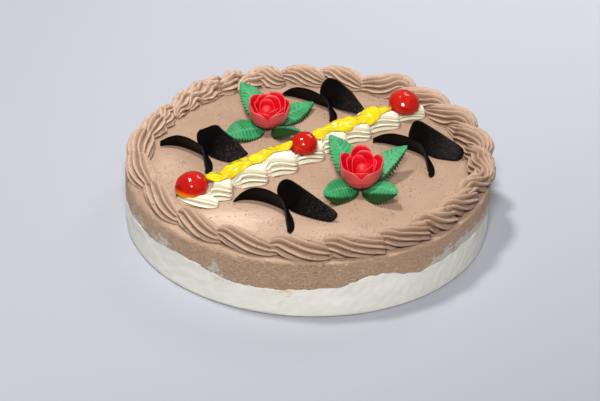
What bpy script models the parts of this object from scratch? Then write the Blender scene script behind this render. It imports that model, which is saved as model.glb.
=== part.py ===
"""Round truffle cake: two mousse layers, piped border and cream, cherries, sugar roses, chocolate.

Metres, +Z up. The origin is the centre of the cake's underside. -Y is the side that faces the
viewer, +X is the viewer's right. Run with: blender --background --python part.py
"""
import math

import bmesh
import bpy
from mathutils import Matrix, Vector

MM = 0.001
GAP = 0.3 * MM                      # air between two pieces that touch on the real cake
SEAT_GAP = 0.55 * MM                # air round what is pressed into the cream

# The body: a white mousse layer under a chocolate one.
BODY_RADIUS = 120 * MM
BODY_HEIGHT = 40.6 * MM
BODY_SIDES = 72
LAYER_HEIGHT = 22.5 * MM            # mean height of the line between the two layers
LAYER_SWELLS = ((-131, 12, 2.6), (-104, 17, -3.0), (-68, 9, 6.0), (-50, 8, -1.6), (-38, 9, 1.8),
                (8, 22, -2.4), (48, 16, 2.2), (95, 25, -1.8), (140, 16, 2.4), (178, 14, -1.6))
RIM_ROUNDING = ((6.0, 0.0), (2.6, 0.35), (0.9, 1.3), (0.2, 2.6), (0.0, 4.2))
RIM_SLUMP = 2.6 * MM                # how far the rim has sunk on the viewer's left

# Piping: a star nozzle leaves ridges along each stroke.
RIDGE_STEP = math.radians(40)
RIDGE_DEPTH = 0.16                  # of the stroke's radius
STROKE_STEPS = (0.0, 0.15, 0.4, 0.7, 1.0)

# The chocolate border: one stroke from each joint to a little past the next one. The ring is
# fuller and further out in places: (azimuth, width in degrees, size, shift outwards).
BORDER_RADIUS = 110.0 * MM
BORDER_STROKE_RADIUS = 8.4 * MM
BORDER_OVERLAP = 1.16
BORDER_SWELLS = ((15, 24, 0.7, 1.7), (55, 14, 1.6, -0.4), (92, 20, 0.5, -0.5), (142, 24, -1.4, -1.2),
                 (180, 14, 0.3, 1.2), (-90, 40, 0.2, 0.8))
BORDER_JOINTS = (-169, -157, -137, -120, -101, -83, -66, -49, -36, -20, -5, 10, 24, 39, 55,
                 71, 86, 101, 114, 129, 144, 155, 167, 179)

# The line of white cream across the top, and what lies on it. Each stroke has the place along
# the line where its head and its tail lie, and how far its tail is pulled off sideways.
CREAM_START = Vector((-73.5, -44.6)) * MM
CREAM_HEADING = math.radians(39.6)
CREAM_STROKE_RADIUS = 9.3 * MM
CREAM_HEAD_START = 7 * MM
CREAM_STROKES = ((-2, 3, -13), (12, 24, -13.5), (28, 50, -11), (53, 80, -7.5), (80, 98, -9.5),
                 (99, 119, -8.5), (122, 139, -9.5), (143, 162, -10), (165, 182, -7))
JELLY_HALF_WIDTH = 5.7 * MM
JELLY_HALF_HEIGHT = 3.0 * MM
# Each ribbon of jelly wanders across the crest: (place along the line, offset) keys.
JELLIES = {
    "jelly_left": ((13, -2.2), (28, -1.6), (44, 0.2), (54, -0.6), (71, 3.2), (78, 1.0)),
    "jelly_right": ((97, -2.6), (114, -0.6), (126, 2.2), (138, -2.6), (150, -0.8), (158, 3.6),
                    (166, 2.2)),
}

# Cherry domes: centre of the base, height of the base over the cake's top, radius, flatness.
CHERRIES = {
    "cherry_left": (Vector((-73.6, -45.2)) * MM, 4.4 * MM, 10.6 * MM, 0.8),
    "cherry_middle": (Vector((-3.2, 6.8)) * MM, 6.0 * MM, 9.3 * MM, 0.93),
    "cherry_right": (Vector((63.6, 65.2)) * MM, 6.4 * MM, 10.0 * MM, 0.9),
}

# Sugar roses: foot, width across the cup, height, lean towards the viewer.
ROSES = {
    "rose_back": (Vector((-27.6, 42.6)) * MM, 27.6 * MM, 21.0 * MM, math.radians(3)),
    "rose_front": (Vector((34.0, -31.0)) * MM, 28 * MM, 24.6 * MM, math.radians(14)),
}
PETAL_THICKNESS = 1.2 * MM

# Leaves: rose, root offset from its foot, heading, length, width, rise, roll towards the viewer.
LEAVES = {
    "leaf_back_a": ("rose_back", 4, 122, 35, 17, 20, 10),
    "leaf_back_b": ("rose_back", 5, 43, 35, 17, 4, 8),
    "leaf_back_c": ("rose_back", 6, 219, 29, 18, 11, 6),
    "leaf_back_d": ("rose_back", 7, 311, 29, 16, 24, 8),
    "leaf_front_a": ("rose_front", 5, 123, 37, 19, 30, 6),
    "leaf_front_b": ("rose_front", 5, 41, 36, 17, 23, 8),
    "leaf_front_c": ("rose_front", 8, 225, 28, 18, 15, 12),
    "leaf_front_d": ("rose_front", 8, 314, 28, 17, 20, 12),
}
LEAF_THICKNESS = 1.1 * MM
LEAF_FOLD = math.radians(24)

# Chocolate: each pair is a bent strip on its edge and a broad shard that leans back.
CHOCOLATE_THICKNESS = 1.3 * MM
STRIP_HEIGHT = 12.4 * MM
STRIP_LEAN = math.radians(19)
SHARD_HEIGHT = 20 * MM
SHARD_LEAN = math.radians(32)
# Strips: left end, heading there, length, how far the strip turns. Shards: foot, heading, length.
STRIPS = {
    "strip_left": (Vector((-97.0, 17.6)) * MM, 2, 62 * MM, 108),
    "strip_back": (Vector((-18.6, 84.6)) * MM, 0, 61 * MM, 108),
    "strip_front": (Vector((-48.6, -52.0)) * MM, 9, 61 * MM, 110),
    "strip_right": (Vector((42.2, 29.6)) * MM, -2, 68 * MM, 104),
}
SHARDS = {
    "shard_left": (Vector((-66.2, 10.4)) * MM, -32, 44 * MM),
    "shard_back": (Vector((12.4, 76.0)) * MM, -37, 40 * MM),
    "shard_front": (Vector((-11.6, -59.4)) * MM, -27, 43 * MM),
    "shard_right": (Vector((73.4, 22.0)) * MM, -25, 40 * MM),
}

COLOURS = {
    "mousse_white": ((0.72, 0.70, 0.62), 0.75),
    "mousse_chocolate": ((0.45, 0.27, 0.18), 0.8),
    "cream": ((0.86, 0.83, 0.72), 0.5),
    "jelly": ((0.90, 0.68, 0.02), 0.15),
    "cherry": ((0.58, 0.02, 0.01), 0.12),
    "rose": ((0.72, 0.06, 0.08), 0.45),
    "leaf": ((0.05, 0.40, 0.16), 0.5),
    "chocolate": ((0.012, 0.008, 0.006), 0.4),
}


def clear_scene():
    for thing in list(bpy.data.objects):
        bpy.data.objects.remove(thing, do_unlink=True)


def new_collection(name):
    group = bpy.data.collections.new(name)
    bpy.context.scene.collection.children.link(group)
    return group


def new_material(name):
    colour, roughness = COLOURS[name]
    material = bpy.data.materials.new(name)
    material.use_nodes = True
    shader = material.node_tree.nodes["Principled BSDF"]
    shader.inputs["Base Color"].default_value = (*colour, 1)
    shader.inputs["Roughness"].default_value = roughness
    shader.inputs["Metallic"].default_value = 0
    return material


def track(t, keys):
    """Value at t on a smooth line through (t, value) keys."""
    for (t0, v0), (t1, v1) in zip(keys, keys[1:]):
        if t <= t1:
            f = (t - t0) / (t1 - t0)
            return v0 + (v1 - v0) * f * f * (3 - 2 * f)
    return keys[-1][1]


def new_solid(name, points, faces, material, group):
    """One object from points and faces, every face turned outwards."""
    mesh = bpy.data.meshes.new(name)
    mesh.from_pydata(points, [], faces)
    shape = bmesh.new()
    shape.from_mesh(mesh)
    bmesh.ops.recalc_face_normals(shape, faces=shape.faces)
    shape.to_mesh(mesh)
    shape.free()
    mesh.materials.append(material)
    mesh.shade_smooth()
    mesh.set_sharp_from_angle(angle=math.radians(50))
    solid = bpy.data.objects.new(name, mesh)
    group.objects.link(solid)
    return solid


def loft(name, rings, material, group):
    """A closed solid through a row of unlike point rings, with a fan at each end."""
    count = len(rings[0])
    points = [p for ring in rings for p in ring]
    faces = []
    for i in range(len(rings) - 1):
        for j in range(count):
            k = (j + 1) % count
            a, b = i * count + j, i * count + k
            faces.append((a, b, b + count, a + count))
    for first in (0, (len(rings) - 1) * count):
        ring = points[first:first + count]
        points.append(sum(ring, Vector()) / count)
        centre = len(points) - 1
        for j in range(count):
            faces.append((first + j, first + (j + 1) % count, centre))
    return new_solid(name, points, faces, material, group)


def slab(name, top, bottom, material, group):
    """A thin closed sheet between two grids of points, both split into triangles alike."""
    rows, columns = len(top), len(top[0])
    points = [p for row in top for p in row] + [p for row in bottom for p in row]
    back = rows * columns
    faces = []
    for i in range(rows - 1):
        for j in range(columns - 1):
            a = i * columns + j
            b, c, d = a + 1, a + columns, a + columns + 1
            faces += [(a, b, c), (b, d, c)]
            faces += [(a + back, c + back, b + back), (b + back, c + back, d + back)]
    rim = [(0, j) for j in range(columns)]
    rim += [(i, columns - 1) for i in range(1, rows)]
    rim += [(rows - 1, j) for j in range(columns - 2, -1, -1)]
    rim += [(i, 0) for i in range(rows - 2, 0, -1)]
    loop = [i * columns + j for i, j in rim]
    for a, b in zip(loop, loop[1:] + loop[:1]):
        faces += [(a, b, b + back), (a, b + back, a + back)]
    return new_solid(name, points, faces, material, group)


def joined(name, pieces, material, group, scrap):
    """The Boolean union of overlapping pieces, as one object."""
    others = new_collection(name + "_pieces")
    for piece in pieces[1:]:
        scrap.objects.unlink(piece)
        others.objects.link(piece)
    union = pieces[0].modifiers.new("union", "BOOLEAN")
    union.operation = "UNION"
    union.operand_type = "COLLECTION"
    union.collection = others
    union.solver = "MANIFOLD"
    return baked(name, pieces[0], pieces, material, group, others)


def cut(name, piece, cutters, material, group):
    """The piece with every cutter taken out of it."""
    for cutter in cutters:
        cutter.hide_render = True
        cutter.display_type = "WIRE"
        difference = piece.modifiers.new("cut", "BOOLEAN")
        difference.operation = "DIFFERENCE"
        difference.object = cutter
        difference.solver = "EXACT"
    return baked(name, piece, [piece] + cutters, material, group, None)


def baked(name, piece, used, material, group, emptied):
    """A new object with the piece's modifiers applied; the objects it was made from go."""
    bpy.context.view_layer.update()
    depsgraph = bpy.context.evaluated_depsgraph_get()
    mesh = bpy.data.meshes.new_from_object(piece.evaluated_get(depsgraph))
    for old in used:
        bpy.data.objects.remove(old, do_unlink=True)
    if emptied:
        bpy.data.collections.remove(emptied)
    mesh.name = name
    mesh.materials.clear()
    mesh.materials.append(material)
    solid = bpy.data.objects.new(name, mesh)
    group.objects.link(solid)
    return solid


def layer_line(azimuth):
    """Height of the line between the white and the chocolate mousse."""
    height = LAYER_HEIGHT
    for middle, width, swell in LAYER_SWELLS:
        away = (math.degrees(azimuth) - middle + 180) % 360 - 180
        height += swell * MM * math.exp(-(away / width) ** 2)
    return height


def rim_slump(azimuth):
    """How far the cake's top edge has sunk: most on the viewer's left."""
    return RIM_SLUMP * max(0.0, -math.cos(azimuth - math.radians(20))) ** 2


def turned(name, profile, material, group):
    """A solid of revolution from a profile that runs from the top axis to the bottom axis."""
    mesh = bpy.data.meshes.new(name)
    mesh.from_pydata([(r, 0, z) for r, z in profile], [(i, i + 1) for i in range(len(profile) - 1)], [])
    blank = bpy.data.objects.new(name, mesh)
    group.objects.link(blank)
    screw = blank.modifiers.new("turn", "SCREW")
    screw.steps = BODY_SIDES
    screw.render_steps = BODY_SIDES
    screw.use_merge_vertices = True
    screw.merge_threshold = 0.00001
    return baked(name, blank, [blank], material, group, None)


def white_layer(material, group):
    profile = ((0, LAYER_HEIGHT), (BODY_RADIUS, LAYER_HEIGHT), (BODY_RADIUS, 0), (0, 0))
    layer = turned("layer_white", profile, material, group)
    for point in layer.data.vertices:
        if point.co.z > 0 and point.co.xy.length > BODY_RADIUS / 2:
            point.co.z = layer_line(math.atan2(point.co.y, point.co.x))
    return layer


def chocolate_layer(material, group):
    rim = [(BODY_RADIUS - inset * MM, BODY_HEIGHT - drop * MM) for inset, drop in RIM_ROUNDING]
    line = LAYER_HEIGHT + GAP
    profile = [(0, BODY_HEIGHT), *rim, (BODY_RADIUS, line), (0, line)]
    layer = turned("layer_chocolate", profile, material, group)
    for point in layer.data.vertices:
        azimuth = math.atan2(point.co.y, point.co.x)
        if point.co.xy.length < BODY_RADIUS / 2:
            continue
        if point.co.z < line + GAP:
            point.co.z = layer_line(azimuth) + GAP
        else:
            point.co.z -= rim_slump(azimuth) * min(1.0, (BODY_HEIGHT - point.co.z) / (1.3 * MM))
    return layer


def piped_stroke(name, path, radius, lift, spin, material, group):
    """One squeeze of a star nozzle: path, radius, height and spin are functions of 0 to 1."""
    floor = BODY_HEIGHT + GAP
    rings = []
    for t in STROKE_STEPS:
        ahead = path(t + 0.01) - path(t - 0.01)
        side = Vector((ahead.y, -ahead.x)).normalized()
        ring = []
        for k in range(13):
            angle = math.radians(-60) + k * RIDGE_STEP / 2 + spin(t)
            ridge = 1 - RIDGE_DEPTH * (k % 2)
            r = radius(t) * ridge
            spot = path(t) + side * r * math.cos(angle)
            height = floor + lift(t) + r * math.sin(angle)
            ring.append(Vector((spot.x, spot.y, max(height, floor))))
        rings.append(ring)
    return loft(name, rings, material, group)


def border_swell(azimuth, which):
    """How much the ring grows (which 2) or moves outwards (which 3) at an azimuth in degrees."""
    total = 0
    for swell in BORDER_SWELLS:
        away = (azimuth - swell[0] + 180) % 360 - 180
        total += swell[which] * MM * math.exp(-(away / swell[1]) ** 2)
    return total


def border(material, group, scrap):
    """The piped ring: every stroke starts on the one before and leaves it outwards."""
    strokes = []
    for k, start in enumerate(BORDER_JOINTS):
        end = BORDER_JOINTS[(k + 1) % len(BORDER_JOINTS)]
        span = (end - start) % 360
        middle = start + span / 2
        size = BORDER_STROKE_RADIUS + border_swell(middle, 2) + 0.4 * MM * math.sin(2.4 * k)
        twist = -1 if 0 < middle < 70 else 1

        def path(t, start=start, span=span, twist=twist):
            azimuth = start + span * BORDER_OVERLAP * t
            sweep = twist * track(t, ((0, -0.9), (0.3, -0.6), (0.7, 0.4), (1, 1.2)))
            away = BORDER_RADIUS + sweep * MM + border_swell(azimuth, 3)
            angle = math.radians(azimuth)
            return Vector((math.cos(angle), math.sin(angle))) * away

        def radius(t, size=size):
            return size * track(max(t, 0), ((0, 0.3), (0.28, 1.0), (0.6, 0.97), (1, 0.6)))

        def lift(t):
            return MM * track(max(t, 0), ((0, 5.6), (0.28, 2.7), (1, 2.0)))

        def spin(t, twist=twist):
            return twist * math.radians(track(max(t, 0), ((0, 22), (1, -22))))

        strokes.append(piped_stroke(f"stroke_{k}", path, radius, lift, spin, material, scrap))
    return joined("border", strokes, material, group, scrap)


def on_cream(along, across):
    """Point on the cake at a distance along the cream's line and one across it."""
    ahead = Vector((math.cos(CREAM_HEADING), math.sin(CREAM_HEADING)))
    return CREAM_START + ahead * along + Vector((-ahead.y, ahead.x)) * across


def cream_line(material, scrap):
    """Short strokes, each laid against the last and pulled off towards the viewer."""
    strokes = []
    for k, (head, tail, pull) in enumerate(CREAM_STROKES):
        size = 1.04 if tail - head > 18 else 0.96

        def path(t, head=head * MM, tail=tail * MM, pull=pull):
            across = MM * track(t, ((0, 1.0), (0.35, -1.8), (1, pull)))
            return on_cream(head - CREAM_HEAD_START + (tail - head + CREAM_HEAD_START) * t, across)

        def radius(t, size=size):
            widths = ((0, 0.4), (0.32, 1.0), (0.66, 0.93), (1, 0.6))
            return CREAM_STROKE_RADIUS * size * track(max(t, 0), widths)

        def lift(t):
            return MM * track(max(t, 0), ((0, 4.2), (0.32, 2.4), (1, 1.4)))

        def spin(t):
            return math.radians(track(max(t, 0), ((0, 16), (1, -14))))

        strokes.append(piped_stroke(f"cream_{k}", path, radius, lift, spin, material, scrap))
    return joined("cream_joined", strokes, material, scrap, scrap)


def jelly(name, wander, grow, material, group):
    """A lumpy ribbon of jelly on the cream's crest, grown by a clearance."""
    start, end = wander[0][0], wander[-1][0]
    rings = []
    steps = 13
    for i in range(steps + 1):
        t = i / steps
        along = start + (end - start) * t
        lump = 1 + 0.14 * math.sin(2 * math.pi * along / 17)
        end_taper = math.sin(math.pi * min(max(t, 0.05), 0.95)) ** 0.35
        half_width = JELLY_HALF_WIDTH * lump * end_taper + grow
        half_height = JELLY_HALF_HEIGHT * (0.5 + 0.5 * lump) * end_taper + grow
        stretch = (2 * t - 1) * grow
        ring = []
        for j in range(7):
            angle = 2 * math.pi * j / 7
            across = MM * track(along, wander) + half_width * math.cos(angle)
            height = BODY_HEIGHT + (8.6 + lump) * MM + half_height * math.sin(angle)
            spot = on_cream(along * MM + stretch, across)
            ring.append(Vector((spot.x, spot.y, height)))
        rings.append(ring)
    return loft(name, rings, material, group)


def cherry(name, centre, base, size, flatness, grow, material, group):
    """A glace cherry cut to a dome that sits face down, grown by a clearance."""
    bpy.ops.mesh.primitive_uv_sphere_add(segments=14, ring_count=8, radius=size + grow)
    dome = bpy.context.object
    dome.name = name
    cut_face = 0.3 * size * flatness
    for point in dome.data.vertices:
        point.co.z = max(point.co.z * flatness, -cut_face - grow) + cut_face
        point.co.z += BODY_HEIGHT + base
    dome.location = (centre.x, centre.y, 0)
    for old in list(dome.users_collection):
        old.objects.unlink(dome)
    group.objects.link(dome)
    dome.data.materials.append(material)
    dome.data.shade_smooth()
    return dome


def cream_with_toppings(materials, group, scrap):
    """The cream line, hollowed where the jelly and the cherries press into it."""
    cream = cream_line(materials["cream"], scrap)
    cutters = []
    for name, wander in JELLIES.items():
        jelly(name, wander, 0, materials["jelly"], group)
        cutters.append(jelly(name + "_seat", wander, SEAT_GAP, materials["jelly"], scrap))
    for name, sizes in CHERRIES.items():
        cherry(name, *sizes, 0, materials["cherry"], group)
        cutters.append(cherry(name + "_seat", *sizes, SEAT_GAP, materials["cherry"], scrap))
    cut("cream", cream, cutters, materials["cream"], group)


def petal(name, azimuth, reach, foot, top, spread, size, place, material, group):
    """One cupped petal: reach is its radius at the widest, foot and top its heights."""
    front, back = [], []
    for i in range(5):
        v = i / 4
        row_front, row_back = [], []
        for j in range(4):
            u = j / 1.5 - 1
            climb = v * (1 - 0.22 * u * u)
            bowl = track(climb, ((0, 0.22), (0.55, 0.98), (0.8, 1.0), (1, 0.93)))
            height = foot + (top - foot) * climb
            angle = azimuth + u * spread * (0.6 + 0.4 * math.sin(math.pi * min(v, 0.8)))
            out = Vector((math.cos(angle), math.sin(angle), 0))
            axis = Vector((0, 0, height))
            row_front.append(place @ (axis + out * reach * size * bowl))
            row_back.append(place @ (axis + out * (reach * size * bowl - PETAL_THICKNESS)))
        front.append(row_front)
        back.append(row_back)
    return slab(name, front, back, material, group)


def rose(name, foot, width, height, lean, material, group, scrap):
    """Cupped sugar petals in two rounds about a closed bud, on a short foot."""
    floor = BODY_HEIGHT + GAP
    place = Matrix.Translation((foot.x, foot.y, floor)) @ Matrix.Rotation(lean, 4, "X")
    reach = width / 2
    pieces = []
    profile = ((3.2, -1.0), (3.4, 1.6), (7.2, 4.2), (8.0, 7.6), (6.0, 12.0), (3.0, 15.0))
    rings = []
    for radius, z in profile:
        ring = []
        for j in range(9):
            angle = 2 * math.pi * j / 9
            spot = Vector((radius * math.cos(angle), radius * math.sin(angle), z)) * MM
            ring.append(place @ spot)
        rings.append(ring)
    pieces.append(loft(name + "_bud", rings, material, scrap))
    rounds = ((5, 1.0, 2.6 * MM, 1.0, 44, -90), (3, 0.66, 5.5 * MM, 0.94, 64, -30))
    for count, size, low, high, spread, turn in rounds:
        for k in range(count):
            azimuth = math.radians(turn + 360 * k / count)
            uneven = size * (1 + 0.03 * math.cos(2.6 * k))
            top = height * (high + 0.03 * math.sin(3.1 * k))
            pieces.append(petal(f"{name}_{size}_{k}", azimuth, reach, low, top,
                                math.radians(spread), uneven, place, material, scrap))
    for piece in pieces:
        for point in piece.data.vertices:
            point.co.z = max(point.co.z, floor)
    return joined(name, pieces, material, group, scrap)


def leaf(name, foot, offset, heading, length, width, rise, roll, material, group):
    """A folded, arched leaf with a toothed edge; its halves slope down from the midrib."""
    floor = BODY_HEIGHT + GAP
    ahead = Vector((math.cos(heading), math.sin(heading), 0))
    side = Vector((-ahead.y, ahead.x, 0))
    near = -1 if side.y > 0 else 1
    top, bottom = [], []
    rows, columns = 9, 5
    for i in range(rows):
        a = i / (rows - 1)
        half = width / 2 * max(math.sin(math.pi * a ** 0.8), 0.0) ** 0.75 + 0.7 * MM
        tooth = 1 + (0.07 if i % 2 else -0.03) * math.sin(math.pi * a)
        ridge = length * math.sin(rise) * (a + 0.22 * math.sin(math.pi * a))
        row_top, row_bottom = [], []
        for j in range(columns):
            c = 2 * j / (columns - 1) - 1
            edge = tooth if abs(c) == 1 else 1
            slope = LEAF_FOLD * abs(c) ** 0.5 + roll * near * c
            across = half * c * edge * math.cos(slope)
            drop = half * abs(c) * edge * math.sin(slope)
            spot = ahead * (offset + length * math.cos(rise) * a) + side * across
            z = max(floor + ridge + 0.8 * MM - drop, floor)
            base = Vector((foot.x, foot.y, z)) + spot
            row_bottom.append(base)
            row_top.append(base + Vector((0, 0, LEAF_THICKNESS)))
        top.append(row_top)
        bottom.append(row_bottom)
    return slab(name, top, bottom, material, group)


def strip(name, start, heading, length, bend, material, group):
    """A bent chocolate strip standing on its long edge, leaning to its hollow side."""
    floor = BODY_HEIGHT + GAP
    steps = 11
    spot, turn = start.copy(), math.radians(heading)
    front, back = [], []
    for i in range(steps + 1):
        s = i / steps
        ahead = Vector((math.cos(turn), math.sin(turn)))
        hollow = Vector((ahead.y, -ahead.x, 0))
        tall = STRIP_HEIGHT * (0.16 + 0.84 * math.sin(math.pi * s ** 0.9) ** 0.7)
        rows_front, rows_back = [], []
        for j in range(3):
            up = tall * j / 2
            lean = hollow * up * math.sin(STRIP_LEAN) * (0.7 + 0.3 * j / 2)
            base = Vector((spot.x, spot.y, floor + up * math.cos(STRIP_LEAN))) + lean
            rows_front.append(base + hollow * CHOCOLATE_THICKNESS / 2)
            rows_back.append(base - hollow * CHOCOLATE_THICKNESS / 2)
        front.append(rows_front)
        back.append(rows_back)
        spot += ahead * length / steps
        turn -= math.radians(bend) / steps
    return slab(name, front, back, material, group)


def shard(name, start, heading, length, material, group):
    """A broad rounded chocolate shard on its lower edge, tall at its left end, leaning back."""
    floor = BODY_HEIGHT + GAP
    ahead = Vector((math.cos(math.radians(heading)), math.sin(math.radians(heading)), 0))
    behind = Vector((-ahead.y, ahead.x, 0))
    normal = behind * math.cos(SHARD_LEAN) - Vector((0, 0, math.sin(SHARD_LEAN)))
    steps = 8
    front, back = [], []
    for i in range(steps + 1):
        s = i / steps
        low = SHARD_HEIGHT * track(s, ((0, 0.32), (0.22, 0.0), (0.85, 0.0), (1, 0.08)))
        high = SHARD_HEIGHT * track(s, ((0, 0.74), (0.14, 1.0), (0.55, 0.78), (0.9, 0.42), (1, 0.32)))
        bend = 3.0 * MM * (2 * s - 1) ** 2
        row_front, row_back = [], []
        for j in range(3):
            up = low + (high - low) * j / 2
            along = length * (s - 0.24)
            base = ahead * along + behind * (up * math.sin(SHARD_LEAN) - bend)
            base += Vector((start.x, start.y, floor + up * math.cos(SHARD_LEAN)))
            row_front.append(base)
            row_back.append(base + normal * CHOCOLATE_THICKNESS)
        front.append(row_front)
        back.append(row_back)
    solid = slab(name, front, back, material, group)
    for point in solid.data.vertices:
        point.co.z = max(point.co.z, floor)
    return solid


def main():
    clear_scene()
    group = new_collection("truffle_cake")
    scrap = new_collection("cutters")
    materials = {name: new_material(name) for name in COLOURS}
    white_layer(materials["mousse_white"], group)
    chocolate_layer(materials["mousse_chocolate"], group)
    border(materials["mousse_chocolate"], group, scrap)
    cream_with_toppings(materials, group, scrap)
    for name, (foot, width, height, lean) in ROSES.items():
        rose(name, foot, width, height, lean, materials["rose"], group, scrap)
    for name, (flower, offset, heading, length, width, rise, roll) in LEAVES.items():
        leaf(name, ROSES[flower][0], offset * MM, math.radians(heading), length * MM, width * MM,
             math.radians(rise), math.radians(roll), materials["leaf"], group)
    for name, sizes in STRIPS.items():
        strip(name, *sizes, materials["chocolate"], group)
    for name, sizes in SHARDS.items():
        shard(name, *sizes, materials["chocolate"], group)


main()
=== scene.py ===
# %% [markdown]
# # Dressing a round truffle cake
# The packed model gives every piece of the cake as a plain solid: right in size and place, but
# without the ridges, veins, pores and gloss that make it look like food. Each step below takes
# one kind of piece, says what it is on the real cake, and builds it in mesh code with a
# procedural finish. The new piece stands where its solid stands.

# %% Load the packed model
import math

import bmesh
import bpy
import numpy as np
from mathutils import Matrix, Vector


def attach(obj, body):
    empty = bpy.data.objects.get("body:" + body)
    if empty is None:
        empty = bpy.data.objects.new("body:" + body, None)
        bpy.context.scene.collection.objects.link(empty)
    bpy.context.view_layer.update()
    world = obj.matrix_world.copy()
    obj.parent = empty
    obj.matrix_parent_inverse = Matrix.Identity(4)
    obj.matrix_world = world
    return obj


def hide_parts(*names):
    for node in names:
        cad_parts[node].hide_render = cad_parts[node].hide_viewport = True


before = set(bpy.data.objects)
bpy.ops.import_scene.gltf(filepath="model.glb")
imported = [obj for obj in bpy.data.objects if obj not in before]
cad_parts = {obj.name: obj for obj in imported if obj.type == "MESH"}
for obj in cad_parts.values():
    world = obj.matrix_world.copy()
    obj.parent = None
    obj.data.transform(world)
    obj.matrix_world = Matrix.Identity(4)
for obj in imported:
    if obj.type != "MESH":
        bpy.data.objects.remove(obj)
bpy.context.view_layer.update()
MM = 0.001
TOP = 40.6 * MM                     # height of the cake without its piping

# %% [markdown]
# ## The camera
# A cake is photographed from a little above with a long lens, so its rim is a narrow ellipse
# and the far side isn't much smaller than the near one. The camera could be turned by hand
# until it looks right. Here it is worked out: a place, a point to look at, a small roll, and
# the lens that makes the cake fill the frame as wide as it should.

# %% Camera
CAMERA_PLACE = Vector((-4.72, -1203.57, 764.96)) * MM
CAMERA_TARGET = Vector((-4.72, 16.44, 0)) * MM
CAMERA_ROLL = math.radians(1.785)
SENSOR_WIDTH = 36                   # mm
PICTURE_WIDTH = 600                 # pixels
FOCAL_PIXELS = 2141.73              # focal length, in pixels of a picture that wide
LENS = FOCAL_PIXELS / PICTURE_WIDTH * SENSOR_WIDTH
FARTHEST_SEEN = 20                  # metres

ahead = (CAMERA_TARGET - CAMERA_PLACE).normalized()
right = ahead.cross(Vector((0, 0, 1))).normalized()
up = right.cross(ahead)
rolled_right = right * math.cos(CAMERA_ROLL) + up * math.sin(CAMERA_ROLL)
rolled_up = up * math.cos(CAMERA_ROLL) - right * math.sin(CAMERA_ROLL)
camera_data = bpy.data.cameras.new("camera")
camera_data.lens = LENS
camera_data.sensor_width = SENSOR_WIDTH
camera_data.clip_end = FARTHEST_SEEN
camera = bpy.data.objects.new("camera", camera_data)
bpy.context.scene.collection.objects.link(camera)
turn = Matrix((rolled_right, rolled_up, -ahead)).transposed()
camera.matrix_world = Matrix.Translation(CAMERA_PLACE) @ turn.to_4x4()
bpy.context.scene.camera = camera
print("camera lens", round(LENS, 1), "mm")

# %% [markdown]
# ## Floor and light
# The cake stands on a pale floor that fills the whole picture; its colour is painted darker towards us and
# brighter far off to the right, which is painted light.
# A soft light overhead, a little to the left, brightens the top and the crests of the piping,
# and a second one near the camera lights the wall. A weak light behind lifts the far rim, a
# small one adds bright spots on the cherries, and a pale world fills the shadows. One large
# light would be simpler, but then the ridges would cast no shade and look flat.

# %% Floor, lights and world
def new_mesh_object(name, points, faces):
    """An object of its own from lists of points and faces."""
    mesh = bpy.data.meshes.new(name)
    mesh.from_pydata(points, [], faces)
    thing = bpy.data.objects.new(name, mesh)
    bpy.context.scene.collection.objects.link(thing)
    return thing


def add_light(name, azimuth, elevation, size, power, colour):
    """A soft square light that shines on the cake from a direction in degrees."""
    light = bpy.data.lights.new(name, "AREA")
    light.size = size
    light.energy = power
    light.color = colour
    lamp = bpy.data.objects.new(name, light)
    azimuth, elevation = math.radians(azimuth), math.radians(elevation)
    flat = math.cos(elevation)
    place = Vector((flat * math.cos(azimuth), flat * math.sin(azimuth), math.sin(elevation))) * LIGHT_DISTANCE
    lamp.location = place
    lamp.rotation_euler = place.to_track_quat("Z", "Y").to_euler()
    bpy.context.scene.collection.objects.link(lamp)


LIGHT_DISTANCE = 1.3                # metres
WARM, NEARLY_WHITE = (1.0, 0.97, 0.93), (1.0, 0.98, 0.96)
# Each light: azimuth and elevation in degrees, width in metres, power in watts, colour.
LIGHTS = {
    "overhead": (168, 76, 0.18, 10.4, WARM),
    "back": (60, 45, 0.40, 2.6, WARM),
    "front": (-92, 47, 0.20, 10.7, NEARLY_WHITE),
    "front_right": (-42, 57, 0.08, 0.5, NEARLY_WHITE),
}
WORLD_COLOUR, WORLD_STRENGTH = (0.92, 0.95, 1.0, 1), 0.20
FLOOR_HALF = 2.0                    # metres
floor = new_mesh_object("floor", [(-FLOOR_HALF, -FLOOR_HALF, 0), (FLOOR_HALF, -FLOOR_HALF, 0),
                                  (FLOOR_HALF, FLOOR_HALF, 0), (-FLOOR_HALF, FLOOR_HALF, 0)],
                        [(0, 1, 2, 3)])
for name, settings in LIGHTS.items():
    add_light(name, *settings)
world = bpy.data.worlds.new("studio")
world.use_nodes = True
background = world.node_tree.nodes["Background"]
background.inputs["Color"].default_value = WORLD_COLOUR
background.inputs["Strength"].default_value = WORLD_STRENGTH
bpy.context.scene.world = world
bpy.context.scene.view_settings.view_transform = "Standard"

# %% [markdown]
# ## Building materials from nodes
# Food is never one flat colour: it has pores, specks, smears and patches. A picture could be
# wrapped round it, but a procedural material needs no picture and has no seams. These small
# helpers add one node each, so that a recipe below reads as a list of what the finish has.

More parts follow.
